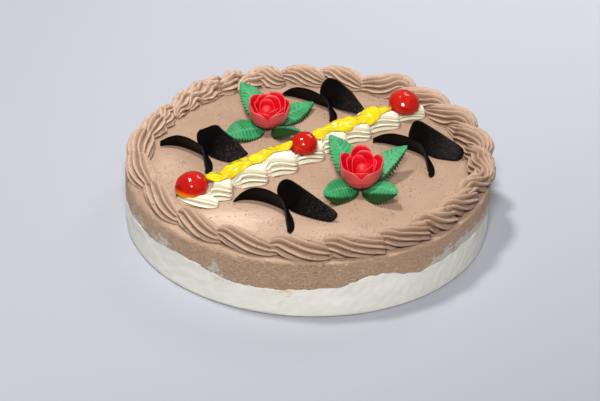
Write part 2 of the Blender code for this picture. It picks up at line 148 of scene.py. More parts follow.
# %% Material helpers
class Finish:
    """A Principled material that is built up one node at a time."""

    def __init__(self, name, roughness, **settings):
        self.material = bpy.data.materials.new(name)
        self.material.use_nodes = True
        self.nodes = self.material.node_tree.nodes
        self.links = self.material.node_tree.links
        self.shader = self.nodes["Principled BSDF"]
        self.place = self.nodes.new("ShaderNodeTexCoord").outputs["Object"]
        self.set(Roughness=roughness, **settings)

    def set(self, **settings):
        """Puts uniform values straight on the shader; underscores stand for blanks."""
        for name, value in settings.items():
            self.shader.inputs[name.replace("_", " ")].default_value = value

    def attribute(self, name):
        """A value that was painted on the points of the mesh."""
        node = self.nodes.new("ShaderNodeAttribute")
        node.attribute_name = name
        return node.outputs["Fac"]

    def noise(self, size, detail=3, rough=0.5, stretch=None):
        """Cloudy noise whose patches are about `size` metres across."""
        node = self.nodes.new("ShaderNodeTexNoise")
        node.inputs["Scale"].default_value = 1 / size
        node.inputs["Detail"].default_value = detail
        node.inputs["Roughness"].default_value = rough
        if stretch:
            mapping = self.nodes.new("ShaderNodeMapping")
            mapping.inputs["Scale"].default_value = stretch
            self.links.new(self.place, mapping.inputs["Vector"])
            self.links.new(mapping.outputs["Vector"], node.inputs["Vector"])
        else:
            self.links.new(self.place, node.inputs["Vector"])
        return node.outputs["Fac"]

    def cells(self, size):
        """Distance to scattered points about `size` metres apart, for pits and specks."""
        node = self.nodes.new("ShaderNodeTexVoronoi")
        node.inputs["Scale"].default_value = 1 / size
        self.links.new(self.place, node.inputs["Vector"])
        return node.outputs["Distance"]

    def between(self, value, low, high):
        """The value stretched so that low gives 0 and high gives 1, clamped."""
        node = self.nodes.new("ShaderNodeMapRange")
        self.links.new(value, node.inputs["Value"])
        node.inputs["From Min"].default_value = low
        node.inputs["From Max"].default_value = high
        return node.outputs["Result"]

    def split(self):
        """How far each spot is to the right and away from us, in metres."""
        node = self.nodes.new("ShaderNodeSeparateXYZ")
        self.links.new(self.place, node.inputs["Vector"])
        return node.outputs["X"], node.outputs["Y"]

    def math(self, kind, *values):
        """One sum of values, each a node's output or a number."""
        node = self.nodes.new("ShaderNodeMath")
        node.operation = kind
        for socket, value in zip(node.inputs, values):
            if isinstance(value, (int, float)):
                socket.default_value = value
            else:
                self.links.new(value, socket)
        return node.outputs["Value"]

    def mix(self, factor, first, second):
        """A colour between two, each a node's output or an (r, g, b)."""
        node = self.nodes.new("ShaderNodeMix")
        node.data_type = "RGBA"
        self.links.new(factor, node.inputs["Factor"])
        for socket, value in ((node.inputs[6], first), (node.inputs[7], second)):
            if isinstance(value, tuple):
                socket.default_value = (*value, 1)
            else:
                self.links.new(value, socket)
        return node.outputs[2]

    def colour(self, value):
        """The finished colour goes to the shader."""
        self.links.new(value, self.shader.inputs["Base Color"])

    def bump(self, height, depth):
        """Relief in the shading only: `depth` is what a step from 0 to 1 stands for."""
        node = self.nodes.new("ShaderNodeBump")
        node.inputs["Distance"].default_value = depth
        self.links.new(height, node.inputs["Height"])
        earlier = self.shader.inputs["Normal"].links
        if earlier:
            self.links.new(earlier[0].from_socket, node.inputs["Normal"])
        self.links.new(node.outputs["Normal"], self.shader.inputs["Normal"])


print("a finish can use:", ", ".join(name for name in vars(Finish) if not name.startswith("_")))

# %% Floor finish
FLOOR_NEAR_SHADE, FLOOR_FAR_LIT = (0.309, 0.321, 0.362), (0.670, 0.695, 0.785)
# Painted light: the tone follows the distance away from us times a steepness that grows towards the right, so
# the floor is painted darker near us and brightest far to the right.
STEEPER_RIGHT, STEEPNESS_MIDDLE = 1.4, 0.82
DARK_BELOW, PALE_ABOVE = -0.29, 0.41
floor_finish = Finish("floor_painted_light", 0.6)
sideways, away = floor_finish.split()
steepness = floor_finish.math("MULTIPLY_ADD", sideways, STEEPER_RIGHT, STEEPNESS_MIDDLE)
floor_light = floor_finish.between(floor_finish.math("MULTIPLY", steepness, away), DARK_BELOW, PALE_ABOVE)
floor_finish.colour(floor_finish.mix(floor_light, FLOOR_NEAR_SHADE, FLOOR_FAR_LIT))
floor.data.materials.append(floor_finish.material)
print("floor finish:", floor_finish.material.name)

# %% [markdown]
# ## Shaping with numbers
# Nothing on this cake is straight or even, so almost every piece below is a grid of points
# worked out with numpy. Three helpers do most of the work: a smooth line through a few keys,
# a slow uneven wobble that makes handmade things look handmade, and one that turns a row of
# rings into a closed mesh.

# %% Smooth lines, wobbles and swells
def through_keys(t, keys):
    """Rows of values at every t on a smooth line through (t, value, value...) keys."""
    table = np.array(keys, float)
    knots, rows = table[:, 0], table[:, 1:]
    slopes = np.gradient(rows, knots, axis=0)
    i = np.clip(np.searchsorted(knots, t, side="right") - 1, 0, len(knots) - 2)
    width = (knots[i + 1] - knots[i])[:, None]
    f = (t - knots[i])[:, None] / width
    return (rows[i] * (1 + 2 * f) * (1 - f) ** 2 + rows[i + 1] * f * f * (3 - 2 * f)
            + slopes[i] * width * f * (1 - f) ** 2 - slopes[i + 1] * width * f * f * (1 - f))


def soft_keys(t, keys):
    """Values at every t on a line through (t, value) keys that is level at each key."""
    table = np.array(keys, float)
    knots, values = table[:, 0], table[:, 1]
    t = np.clip(t, knots[0], knots[-1])
    i = np.clip(np.searchsorted(knots, t, side="right") - 1, 0, len(knots) - 2)
    f = (t - knots[i]) / (knots[i + 1] - knots[i])
    return values[i] + (values[i + 1] - values[i]) * f * f * (3 - 2 * f)


WAVES = 14                          # sine waves that make up one wobble


def wobble(points, size, seed):
    """A smooth uneven value, about -1 to 1, that changes over `size` metres."""
    random = np.random.default_rng(seed)
    heading = random.normal(size=(WAVES, 3))
    heading /= np.linalg.norm(heading, axis=1)[:, None]
    rate = 2 * np.pi / size * random.uniform(0.6, 1.6, WAVES)
    phase = random.uniform(0, 2 * np.pi, WAVES)
    total = np.sin(points.reshape(-1, 3) @ (heading * rate[:, None]).T + phase).sum(axis=1)
    return (total / math.sqrt(WAVES)).reshape(points.shape[:-1])


def swells(degrees, bumps):
    """The sum of smooth bumps, each a (middle, width, amount), at directions in degrees."""
    total = np.zeros(np.shape(degrees))
    for middle, width, amount in bumps:
        away = (degrees - middle + 180) % 360 - 180
        total = total + amount * np.exp(-(away / width) ** 2)
    return total


print("a quarter of the way from 0 to 1 a soft line is at", float(soft_keys(0.25, ((0, 0), (1, 1)))))

# %% Rings into a mesh, and a mesh into a piece
def tube(rings):
    """Points and faces of a row of closed rings, with a fan of triangles at each end."""
    rows, columns, values = rings.shape
    ends = np.stack([rings[0].mean(axis=0), rings[-1].mean(axis=0)])
    i, j = np.meshgrid(np.arange(rows - 1), np.arange(columns), indexing="ij")
    a = (i * columns + j).ravel()
    b = (i * columns + (j + 1) % columns).ravel()
    faces = np.stack([a, b, b + columns, a + columns], axis=1).tolist()
    for ring, centre in ((0, rows * columns), ((rows - 1) * columns, rows * columns + 1)):
        faces += [(ring + j, ring + (j + 1) % columns, centre) for j in range(columns)]
    return np.concatenate([rings.reshape(-1, values), ends]), faces


def joined(parts):
    """Several (points, faces) as one."""
    points, faces, first = [], [], 0
    for more, its_faces in parts:
        points.append(more)
        faces += [tuple(index + first for index in face) for face in its_faces]
        first += len(more)
    return np.concatenate(points), faces


def make_piece(name, points, faces, finish, nodes, slot):
    """A smooth closed piece that rides on the cake in the place of its solids."""
    thing = new_mesh_object(name, np.asarray(points).tolist(), faces)
    shape = bmesh.new()
    shape.from_mesh(thing.data)
    bmesh.ops.recalc_face_normals(shape, faces=shape.faces)
    shape.to_mesh(thing.data)
    shape.free()
    thing.data.shade_smooth()
    thing.data.materials.append(finish.material)
    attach(thing, "root")
    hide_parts(*nodes)
    print(name, "triangles:", sum(len(face.vertices) - 2 for face in thing.data.polygons))
    return thing


def paint(thing, name, values):
    """One painted value a point, for a material to read."""
    layer = thing.data.attributes.new(name, "FLOAT", "POINT")
    layer.data.foreach_set("value", np.asarray(values, np.float32).ravel())


def paint_rings(thing, name, values):
    """One painted value a point of a tube's rings, and 0 in the middle of its two ends."""
    paint(thing, name, np.append(values.ravel(), [0, 0]))


print("a tube of 3 rings of 8 points has", len(tube(np.zeros((3, 8, 3)))[1]), "faces")

# %% [markdown]
# ## The body: two layers of mousse
# The cake was built in a ring: white mousse below, chocolate mousse above, smoothed with a
# knife. The line between them wanders by a few millimetres and is ragged where one was dragged
# over the other. Each layer could be a plain disc with a bumpy material, but then the line
# and the slumped rim would be as clean as a machined part. So both are turned profiles whose
# points are pushed about by the same wandering line.

# %% Where the two layers meet, and how the rim has sunk
BODY_RADIUS = 120 * MM
LAYER_HEIGHT = 22.5 * MM
# Where the line rises or falls: middle and width in degrees, and how far in mm.
LAYER_SWELLS = ((-131, 12, 2.6), (-104, 17, -3.0), (-68, 9, 6.0), (-50, 8, -1.6), (-38, 9, 1.8),
                (8, 22, -2.4), (48, 16, 2.2), (95, 25, -1.8), (140, 16, 2.4), (178, 14, -1.6))
RIM_SLUMP = 2.6 * MM
FIRMEST_RIM = math.radians(20)      # the rim has sunk most on the opposite side


def layer_line(azimuth):
    """Height of the line between the layers, at azimuths in radians."""
    height = LAYER_HEIGHT + swells(np.degrees(azimuth), LAYER_SWELLS) * MM
    on_side = np.stack([np.cos(azimuth), np.sin(azimuth), 0 * azimuth], axis=-1) * BODY_RADIUS
    ragged = 0.35 * wobble(on_side, 14 * MM, 3) + 0.3 * wobble(on_side, 5 * MM, 4)
    return height + ragged * MM


def rim_slump(azimuth):
    """How far the rim has sunk, at azimuths in radians."""
    return RIM_SLUMP * np.maximum(0, -np.cos(azimuth - FIRMEST_RIM)) ** 2


BODY_STEPS = 640                    # points round the body
around = np.linspace(0, 2 * np.pi, BODY_STEPS, endpoint=False)
line = layer_line(around)
print("layer line from", round(line.min() / MM, 1), "to", round(line.max() / MM, 1), "mm")


# %% [markdown]
# The finishes: a knife leaves the top nearly smooth, with faint arcs and a few open pores,
# while the side was pulled from its ring and is torn and full of fine holes. One material
# holds both and moves from one to the other by a value painted on the points. White mousse
# smeared over the brown is a second painted value, broken up by noise.

# %% Colours of the mousse, and its pores
BROWN = (0.415, 0.270, 0.186)
BROWN_LIGHT = (0.465, 0.312, 0.220)
BROWN_PAINTED_LIGHT = (0.730, 0.525, 0.400)
BROWN_TORN = (0.600, 0.368, 0.220)
BROWN_SIDE_LIT = (0.820, 0.552, 0.372)
BROWN_GROOVE_SHADE = (0.190, 0.096, 0.048)
PORE_SHADE = (0.130, 0.060, 0.035)
CRUMB = (0.030, 0.012, 0.008)
IVORY = (0.92, 0.90, 0.81)
IVORY_DARK = (0.83, 0.81, 0.71)


def pitted(finish, size, reach, rarity):
    """1 inside scattered round pores, 0 elsewhere; rarity hides most of them."""
    holes = finish.between(finish.cells(size), reach, reach * 0.45)
    patches = finish.between(finish.noise(size * 7, 2), rarity, rarity + 0.12)
    return finish.math("MULTIPLY", holes, patches)


print("brown from", BROWN_GROOVE_SHADE, "in a groove to", BROWN_SIDE_LIT, "on the torn side")

# %% Mousse finishes
def chocolate_mousse(name):
    """Brown mousse: even on the top, torn and pale-smeared on the side."""
    finish = Finish(name, 0.62, Specular_IOR_Level=0.35)
    side = finish.attribute("side")
    clouds = finish.between(finish.noise(26 * MM, 4), 0.35, 0.65)
    top_tone = finish.mix(clouds, BROWN, BROWN_LIGHT)
    # Painted light: where `pale` is painted, the top and the piping are painted paler, as if lit brighter.
    streaks = finish.between(finish.noise(9 * MM, 5, 0.6, (1, 2.2, 1)), 0.40, 0.62)
    pale = finish.math("MULTIPLY", finish.attribute("pale"), finish.math("MULTIPLY_ADD", streaks, 0.4, 0.6))
    top_tone = finish.mix(pale, top_tone, BROWN_PAINTED_LIGHT)
    # The side's tones are lighter than the top's: the torn pattern is the mousse's own, and the extra
    # lightness is painted light for the light that falls on the wall.
    torn = finish.between(finish.noise(2.4 * MM, 8, 0.78, (1, 1, 1.7)), 0.38, 0.60)
    side_tone = finish.mix(torn, BROWN_TORN, BROWN_SIDE_LIT)
    tone = finish.mix(side, top_tone, side_tone)
    # Painted shade: the grooves of the piping are painted darker, where shade falls in them.
    groove = finish.math("MULTIPLY", finish.attribute("groove"), 0.76)
    tone = finish.mix(groove, tone, BROWN_GROOVE_SHADE)
    ragged = finish.between(finish.noise(6 * MM, 8, 0.75, (1, 1, 2.2)), 0.36, 0.64)
    ivory = finish.between(finish.math("ADD", finish.attribute("smear"), ragged), 0.98, 1.10)
    tone = finish.mix(finish.math("MULTIPLY", ivory, 0.85), tone, IVORY)
    # Painted shade: the pores are painted dark for the shade inside them.
    pores = finish.math("MAXIMUM", pitted(finish, 4.4 * MM, 0.15, 0.47), pitted(finish, 1.8 * MM, 0.22, 0.44))
    tone = finish.mix(finish.math("MULTIPLY", pores, 0.75), tone, PORE_SHADE)
    crumbs = pitted(finish, 6 * MM, 0.10, 0.50)
    finish.colour(finish.mix(crumbs, tone, CRUMB))
    finish.bump(finish.math("MULTIPLY", torn, side), 0.7 * MM)
    finish.bump(finish.noise(1.1 * MM, 5, 0.7), 0.22 * MM)
    finish.bump(finish.math("SUBTRACT", 1.0, pores), 0.5 * MM)
    return finish


def white_mousse():
    """White mousse: smooth, faintly streaked, with a few brown smears and small holes."""
    finish = Finish("white_mousse", 0.5, Subsurface_Weight=0.15, Specular_IOR_Level=0.4)
    finish.set(Subsurface_Radius=(0.006, 0.005, 0.004))
    streaks = finish.between(finish.noise(16 * MM, 5, 0.6, (1, 1, 3)), 0.35, 0.7)
    tone = finish.mix(streaks, IVORY_DARK, IVORY)
    ragged = finish.between(finish.noise(6 * MM, 8, 0.75, (1, 1, 2.4)), 0.36, 0.64)
    brown = finish.between(finish.math("ADD", finish.attribute("smear"), ragged), 1.02, 1.16)
    tone = finish.mix(finish.math("MULTIPLY", brown, 0.8), tone, BROWN_SIDE_LIT)
    # Painted shade: the small holes are painted brown for the shade inside them.
    pores = pitted(finish, 3.4 * MM, 0.13, 0.55)
    tone = finish.mix(finish.math("MULTIPLY", pores, 0.6), tone, BROWN_TORN)
    finish.colour(tone)
    finish.bump(streaks, 0.05 * MM)
    finish.bump(finish.noise(2.4 * MM, 4), 0.05 * MM)
    return finish


brown_finish = chocolate_mousse("chocolate_mousse")
white_finish = white_mousse()
print("mousse finishes:", brown_finish.material.name, white_finish.material.name)

# %% Turn the two layers
def turned(profiles):
    """Points of a turned solid: profiles is (rows, azimuths, 2) of radius and height."""
    radius, height = profiles[..., 0], profiles[..., 1]
    return np.stack([radius * np.cos(around), radius * np.sin(around), height], axis=-1)


SKIN_INSET = 0.25 * MM              # the side's mean distance inside its solid
TOP_INSET = 0.12 * MM


def side_radius(height, seed):
    """Radius of the uneven side, at every azimuth, at these heights."""
    spot = np.stack([np.cos(around) * BODY_RADIUS, np.sin(around) * BODY_RADIUS,
                     np.broadcast_to(height, around.shape)], axis=-1)
    relief = 0.22 * wobble(spot, 40 * MM, seed) + 0.12 * wobble(spot, 9 * MM, seed + 1)
    return BODY_RADIUS + MM * relief - SKIN_INSET


def level(radius, height):
    """One ring of a profile, with a radius and a height at every azimuth."""
    return np.stack([np.broadcast_to(radius, around.shape), np.broadcast_to(height, around.shape)], axis=-1)


def side_rows(low, high, seed):
    """The rows of the side from one line up or down to another, without the first."""
    heights = [low + (high - low) * step for step in np.linspace(0, 1, SIDE_ROWS)[1:]]
    return [level(side_radius(height, seed), height) for height in heights]


# The rounded rim, from the top down: how far in from the side and down from the top, in mm.
RIM_ROUNDING = ((7.0, 0.0), (4.5, 0.02), (2.6, 0.06), (1.7, 0.14), (1.15, 0.28), (0.75, 0.5), (0.45, 0.8),
                (0.25, 1.2), (0.12, 1.7), (0.05, 2.4), (0.0, 3.3), (0.0, 4.4))
TOP_RINGS = 44
SIDE_ROWS = 26
LINE_GAP = 0.3 * MM                 # between the brown side's lower edge and the layers' line
INNERMOST_RING, OUTERMOST_RING = 1.5, 111
rows = []
for radius in np.linspace(INNERMOST_RING, OUTERMOST_RING, TOP_RINGS) * MM:
    spot = np.stack([radius * np.cos(around), radius * np.sin(around), 0 * around], axis=-1)
    relief = 0.10 * MM * wobble(spot, 60 * MM, 11) + 0.03 * MM * wobble(spot, 11 * MM, 12)
    sink = rim_slump(around) * 0.16 * (radius / BODY_RADIUS) ** 6
    rows.append(level(radius, TOP + relief - sink - TOP_INSET))
for inset, drop in RIM_ROUNDING:
    height = TOP - drop * MM - rim_slump(around) * min(1.0, 0.16 + drop / 1.3)
    rows.append(level(side_radius(height, 21) - inset * MM, height))
rows += side_rows(rows[-1][:, 1], line - LINE_GAP, 21)
rows.append(level(BODY_RADIUS - 4 * MM, line - LINE_GAP))
brown_points = turned(np.array(rows))
layer_chocolate = make_piece("chocolate_layer", *tube(brown_points), brown_finish,
                             ["layer_chocolate"], "mousse_chocolate")

# %% Paint the side, the smears and the pale patches
# Where white mousse was dragged up over the brown: middle and width in degrees, strength.
IVORY_SMEARS = ((-154, 7, 0.75), (-139, 5, 0.8), (-118, 4, 0.85), (-47, 5, 0.55), (-37, 9, 0.85),
                (-25, 9, 1.0), (-10, 9, 0.8), (40, 14, 0.5), (110, 16, 0.6), (165, 10, 0.5))
WELL_DOWN = 9.0                     # any drop, in mm, that is past the rounded rim
rim_drop = np.concatenate([np.zeros(TOP_RINGS), [drop for _, drop in RIM_ROUNDING],
                           np.full(SIDE_ROWS, WELL_DOWN)])
on_side = np.broadcast_to(np.clip((rim_drop - 0.3) / 0.9, 0, 1)[:, None], brown_points.shape[:2])
over_line = (brown_points[..., 2] - line) / MM
dragged = swells(np.degrees(around), IVORY_SMEARS) * np.clip(1.15 - over_line / 9, 0, 1) * on_side
paint_rings(layer_chocolate, "side", on_side)
paint_rings(layer_chocolate, "smear", dragged)
# Each pale patch on the near top is painted light, where the top is lit brighter, partly over the knife's
# faint arcs: middle, size (mm), strength.
PAINTED_LIGHT_PATCHES = (((-45, -78), (26, 14), 0.75), ((-30, -66), (22, 9), 0.5), ((-92, -10), (12, 26), 0.45),
                ((-62, -74), (22, 12), 0.5), ((20, -86), (34, 10), 0.35))
across, back = brown_points[..., 0] / MM, brown_points[..., 1] / MM
pale = sum(strength * np.exp(-((across - x) / wide) ** 2 - ((back - y) / deep) ** 2)
           for (x, y), (wide, deep), strength in PAINTED_LIGHT_PATCHES)
paint_rings(layer_chocolate, "pale", np.clip(pale * (1 - on_side), 0, 1))
print("painted:", [layer.name for layer in layer_chocolate.data.attributes if layer.data_type == "FLOAT"])

# %% The white layer
# The underside and the rounded foot, as distances in from the side and heights, in mm.
FOOT_ROUNDING = ((60, 0), (3, 0), (1.2, 0.15), (0.5, 0.6), (0.25, 1.4))
rows = [level(BODY_RADIUS - inset * MM, height * MM) for inset, height in FOOT_ROUNDING]
rows += side_rows(FOOT_ROUNDING[-1][1] * MM, line, 31)
rows.append(level(BODY_RADIUS - 5 * MM, line - 0.1 * MM))
white_points = turned(np.array(rows))
layer_white = make_piece("white_layer", *tube(white_points), white_finish, ["layer_white"], "mousse_white")

# Where brown mousse was dragged down over the white: middle and width in degrees, strength.
BROWN_SMEARS = ((-152, 6, 0.5), (-118, 8, 0.5), (-96, 8, 0.5), (-22, 6, 0.8), (-10, 6, 0.7), (60, 20, 0.5))
under_line = (line - white_points[..., 2]) / MM
dragged = swells(np.degrees(around), BROWN_SMEARS) * np.clip(1.1 - under_line / 14, 0, 1)
paint_rings(layer_white, "smear", dragged)

# %% [markdown]
# ## Piping with a star nozzle
# A star nozzle presses grooves into the mousse, so every stroke is a ridged rope: thin where
# it starts, fat where the bag is squeezed hard, and pulled thin again. A curve with a star
# profile could be bevelled, but it can't change its twist or lie flat on the cake. So each
# rope is a row of rings. A ring's radius drops sharply in every groove and is round on every
# ridge, and it never goes below the cake's top.

# %% One stroke of the nozzle
# A ring runs from one lower side over the crest to the other, and is closed by a flat underside.
RING_FROM, RING_TO = math.radians(-38), math.radians(218)
CREST_ROUNDING, CREST_LEVEL = 0.02, 0.14
SUNK = 0.3 * MM                     # how far piping may reach below the cake's top


def ridged_rope(centres, radii, spins, ridges, depth, steps_round, tear, seed, far=1.0):
    """Points of a rope with ridges, each with how deep in its grooves it is (0 to 1), the mask of painted
    shade.

    It is torn by `tear`, and its far side is `far` times as wide.
    """
    ahead = np.gradient(centres[:, :2], axis=0)
    ahead /= np.linalg.norm(ahead, axis=1)[:, None]
    outward = np.stack([ahead[:, 1], -ahead[:, 0], 0 * ahead[:, 0]], axis=1)
    angle = np.linspace(RING_FROM, RING_TO, steps_round)
    turns = ridges * (angle[None] - math.pi / 2 - spins[:, None]) / (2 * math.pi)
    off_crest = 2 * np.abs(turns - np.round(turns))
    reach = radii[:, None] * (1 - depth * (np.sqrt(off_crest ** 2 + CREST_ROUNDING) - CREST_LEVEL))
    aside = np.where(np.cos(angle) < 0, far, 1) * np.cos(angle)
    spot = (centres[:, None] + outward[:, None] * (reach * aside)[..., None]
            + np.array([0, 0, 1.0]) * (reach * np.sin(angle))[..., None])
    push = 1 + tear * (wobble(spot, 7 * MM, seed) + 0.6 * wobble(spot, 2.6 * MM, seed + 1))
    spot = centres[:, None] + (spot - centres[:, None]) * push[..., None]
    spot[..., 2] = np.maximum(spot[..., 2], TOP - SUNK)
    # Painted shade: how deep a point lies in the grooves, which the finishes paint darker.
    groove = off_crest ** 1.6 * depth / np.max(depth)
    return np.concatenate([spot, groove[..., None]], axis=-1)


def ropes_piece(name, ropes, finish, nodes, slot):
    """All ropes of one line of piping as one piece."""
    table, faces = joined([tube(rings) for rings in ropes])
    piece = make_piece(name, table[:, :3], faces, finish, nodes, slot)
    paint(piece, "groove", table[:, 3])
    return piece


print("a ring goes", round(math.degrees(RING_TO - RING_FROM)), "degrees round its rope")

# %% [markdown]
# ## The chocolate border
# The border was piped anticlockwise, one stroke after another, each starting on the tail of the
# last. The hand that piped it changed its habit on the way: calm slanting spindles at the
# front, long steps at the front right, fat commas at the right that hang over the edge,
# slanting strokes and torn, nearly radial pleats at the back, and drapes along the edge at the
# left. Each habit is a short table of keys: how far along its span the rope is, how far out,
# how high, how fat and how twisted.

# %% The habits of the hand
# Each key: place in the stroke, part of the span, outward, height, radius (mm), spin (degrees).
HABITS = {
    "spindle": ((0, -.08, .4, 4.0, .9, 30), (.1, .02, -.4, 4.6, 4.8, 28), (.28, .18, -1.6, 4.6, 7.2, 18),
                (.5, .45, -.6, 4.2, 7.8, 0), (.72, .74, .9, 3.8, 7.5, -18), (.9, .98, 1.0, 3.0, 5.6, -30),
                (1, 1.12, .4, 2.0, 3.0, -34)),
    "step": ((0, -.14, -2.2, 3.0, 1.2, 46), (.07, -.07, -2.3, 4.2, 5.2, 42), (.2, .10, -2.0, 4.8, 7.6, 30),
             (.5, .48, -.2, 4.4, 7.8, 0), (.78, .84, 1.5, 4.1, 7.3, -28), (.95, 1.05, 1.9, 3.5, 6.1, -40),
             (1, 1.08, 2.0, 3.0, 3.6, -44)),
    "comma": ((0, -.22, 3.8, 2.4, 1.5, -44), (.1, -.08, 3.6, 3.4, 6.4, -38), (.26, .12, 2.9, 3.6, 8.8, -26),
              (.5, .42, 1.1, 3.2, 9.2, -6), (.72, .76, -1.4, 2.8, 7.6, 12), (.9, 1.12, -3.4, 2.2, 4.6, 26),
              (1, 1.30, -4.4, 1.6, 2.0, 32)),
    "slant": ((0, -.1, -4.6, 2.2, 1.2, 40), (.1, .02, -4.2, 3.0, 5.2, 34), (.28, .22, -2.4, 3.4, 7.8, 20),
              (.5, .5, .6, 3.0, 8.4, 0), (.72, .8, 2.8, 2.6, 7.4, -24), (.9, 1.05, 4.0, 2.0, 4.6, -40),
              (1, 1.2, 4.4, 1.4, 2.4, -48)),
    "pleat": ((0, -.30, 5.0, 1.8, 1.5, 40), (.1, -.14, 4.9, 2.8, 5.6, 36), (.28, .12, 3.4, 3.3, 7.4, 22),
              (.5, .48, .4, 3.4, 7.8, 0), (.7, .82, -2.6, 2.8, 6.4, -22), (.88, 1.12, -4.8, 2.0, 4.4, -44),
              (1, 1.30, -6.0, 1.2, 2.0, -56)),
    "drape": ((0, -.1, 1.2, 2.2, 1.0, 12), (.1, .02, 1.4, 2.8, 5.0, 11), (.28, .2, 1.2, 3.0, 7.8, 8),
              (.5, .45, .4, 2.8, 8.9, 2), (.72, .72, -.6, 2.4, 8.2, -6), (.9, .95, -1.2, 2.0, 5.6, -12),
              (1, 1.08, -1.4, 1.6, 3.0, -16)),
}
# Towards the right the hand turned further with every step.
HABITS["turned step"] = tuple((*key[:5], 1.5 * key[5]) for key in HABITS["step"])
print("habits:", ", ".join(HABITS))

# %% The strokes of the border
BORDER_RADIUS = 110 * MM
STROKE_RADIUS = 8.4 * MM
# Where the ring is fuller and further out: middle and width in degrees, fuller by, out by (mm).
BORDER_SWELLS = ((15, 24, 0.7, 1.7), (55, 14, 1.6, -0.4), (92, 20, 0.5, -0.5), (142, 24, -1.4, -1.2),
                 (180, 14, 0.3, 1.2), (-90, 40, 0.2, 0.8))
# Start and end of every stroke in degrees, its habit, and how torn it is.
BORDER_STROKES = (
    (-157, -137, "spindle", .008), (-137, -120, "spindle", .008), (-120, -101, "spindle", .008),
    (-101, -83, "spindle", .008), (-83, -66, "step", .008), (-66, -50, "step", .010),
    (-50, -37, "turned step", .012), (-37, -23, "turned step", .016), (-23, -9, "turned step", .03),
    (-9, 8, "comma", .03),
    (8, 23, "comma", .02), (23, 38, "comma", .016), (38, 54, "comma", .016), (54, 70, "comma", .016),
    (70, 86, "slant", .014), (86, 100, "slant", .014), (100, 112, "slant", .02),
    (108, 117, "pleat", .06), (116, 125, "pleat", .08), (124, 133, "pleat", .08),
    (132, 141, "pleat", .08), (140, 149, "pleat", .07), (148, 158, "pleat", .06),
    (156, 168, "drape", .02), (166, 184, "drape", .014), (182, 203, "drape", .012),
)
# How many ridges go round a stroke of each habit.
RIDGES = {"spindle": 9, "step": 10, "turned step": 8, "comma": 13, "slant": 12, "pleat": 8, "drape": 11}
BORDER_STEPS = 44                   # rings along a stroke
BORDER_ROUND = 76                   # points in a ring
BORDER_DEPTH = 0.54                 # of the grooves, as a share of the radius
FULLER, FURTHER_OUT = 2, 3
print("border strokes:", len(BORDER_STROKES))

# %% Pipe the border
def border_swell(degrees, which):
    """How much fuller or further out the ring is, in metres, at directions in degrees."""
    return swells(degrees, [(swell[0], swell[1], swell[which]) for swell in BORDER_SWELLS]) * MM


def border_rope(number, start, end, habit, tear):
    """The rings of one stroke of the border."""
    keys = through_keys(np.linspace(0, 1, BORDER_STEPS), HABITS[habit])
    part, outward, height, radius, spin = keys.T
    careless = min(1.7, tear / 0.03) * np.random.default_rng(50 + number).uniform(-1, 1, 4)
    degrees = start + (end - start) * part + 1.4 * careless[0]
    curl = np.sin(8 * part + number)
    outward, spin = outward + careless[1] * (0.9 + 1.1 * curl), spin + careless[2] * (9 + 12 * curl)
    fuller = border_swell(degrees, FULLER) / STROKE_RADIUS
    size = 1 + fuller + 0.03 * math.sin(2.4 * number) + 0.13 * careless[3]
    ring = BORDER_RADIUS + outward * MM + border_swell(degrees, FURTHER_OUT)
    angle = np.radians(degrees)
    slump = rim_slump(angle) * np.clip((ring - 100 * MM) / (16 * MM), 0, 1) * 0.5
    centres = np.stack([ring * np.cos(angle), ring * np.sin(angle), TOP + height * MM - slump], axis=1)
    return ridged_rope(centres, np.maximum(radius, 0.4) * MM * size, np.radians(spin), RIDGES[habit],
                       BORDER_DEPTH, BORDER_ROUND, tear, 100 + 3 * number)


border_ropes = [border_rope(number, *stroke) for number, stroke in enumerate(BORDER_STROKES)]
border_finish = chocolate_mousse("piped_mousse")
border = ropes_piece("chocolate_border", border_ropes, border_finish, ["border"], "mousse_chocolate")
# Painted light: the border is painted paler towards the left and the back, where its ridges are lit brighter.
BRIGHTEST_LIT = math.radians(118)
border_points = np.array([vertex.co[:] for vertex in border.data.vertices])
border_azimuth = np.arctan2(border_points[:, 1], border_points[:, 0])
paint(border, "pale", 0.52 + 0.42 * np.cos(border_azimuth - BRIGHTEST_LIT))

# %% [markdown]
# ## The line of cream
# Whipped cream holds a sharper ridge than mousse. Nine short shells run slantwise across the
# cake. Each is squeezed out fat at its head, so the ridges climb from the cake up to the crest,
# and is then pulled off to the right, where it ends in a blunt stepped tail over the next one.
# The ridges are deep on the near side and nearly smoothed away on the crest.

# %% Cream finish
CREAM, CREAM_LIGHT = (0.93, 0.90, 0.75), (0.97, 0.95, 0.85)
CREAM_GROOVE_SHADE = (0.64, 0.55, 0.30)


def whipped_cream():
    """Satin cream that lets a little light through, with painted shade in its grooves: darker and warmer
    there.
    """
    finish = Finish("whipped_cream", 0.38, Subsurface_Weight=0.25, Specular_IOR_Level=0.45)
    finish.set(Subsurface_Radius=(0.005, 0.004, 0.003))
    clouds = finish.between(finish.noise(18 * MM, 3), 0.35, 0.65)
    tone = finish.mix(clouds, CREAM, CREAM_LIGHT)
    # Painted shade: the cream's grooves are painted a darker tan.
    groove = finish.math("MULTIPLY", finish.attribute("groove"), 0.75)
    finish.colour(finish.mix(groove, tone, CREAM_GROOVE_SHADE))
    finish.bump(finish.noise(2.2 * MM, 4), 0.07 * MM)
    return finish


print("cream from", CREAM_GROOVE_SHADE, "in a groove to", CREAM_LIGHT)

# %% Strokes of cream
CREAM_START = np.array([-73.5, -44.6]) * MM
CREAM_HEADING = math.radians(39.6)
CREAM_AHEAD = np.array([math.cos(CREAM_HEADING), math.sin(CREAM_HEADING)])
CREAM_ASIDE = np.array([-CREAM_AHEAD[1], CREAM_AHEAD[0]])
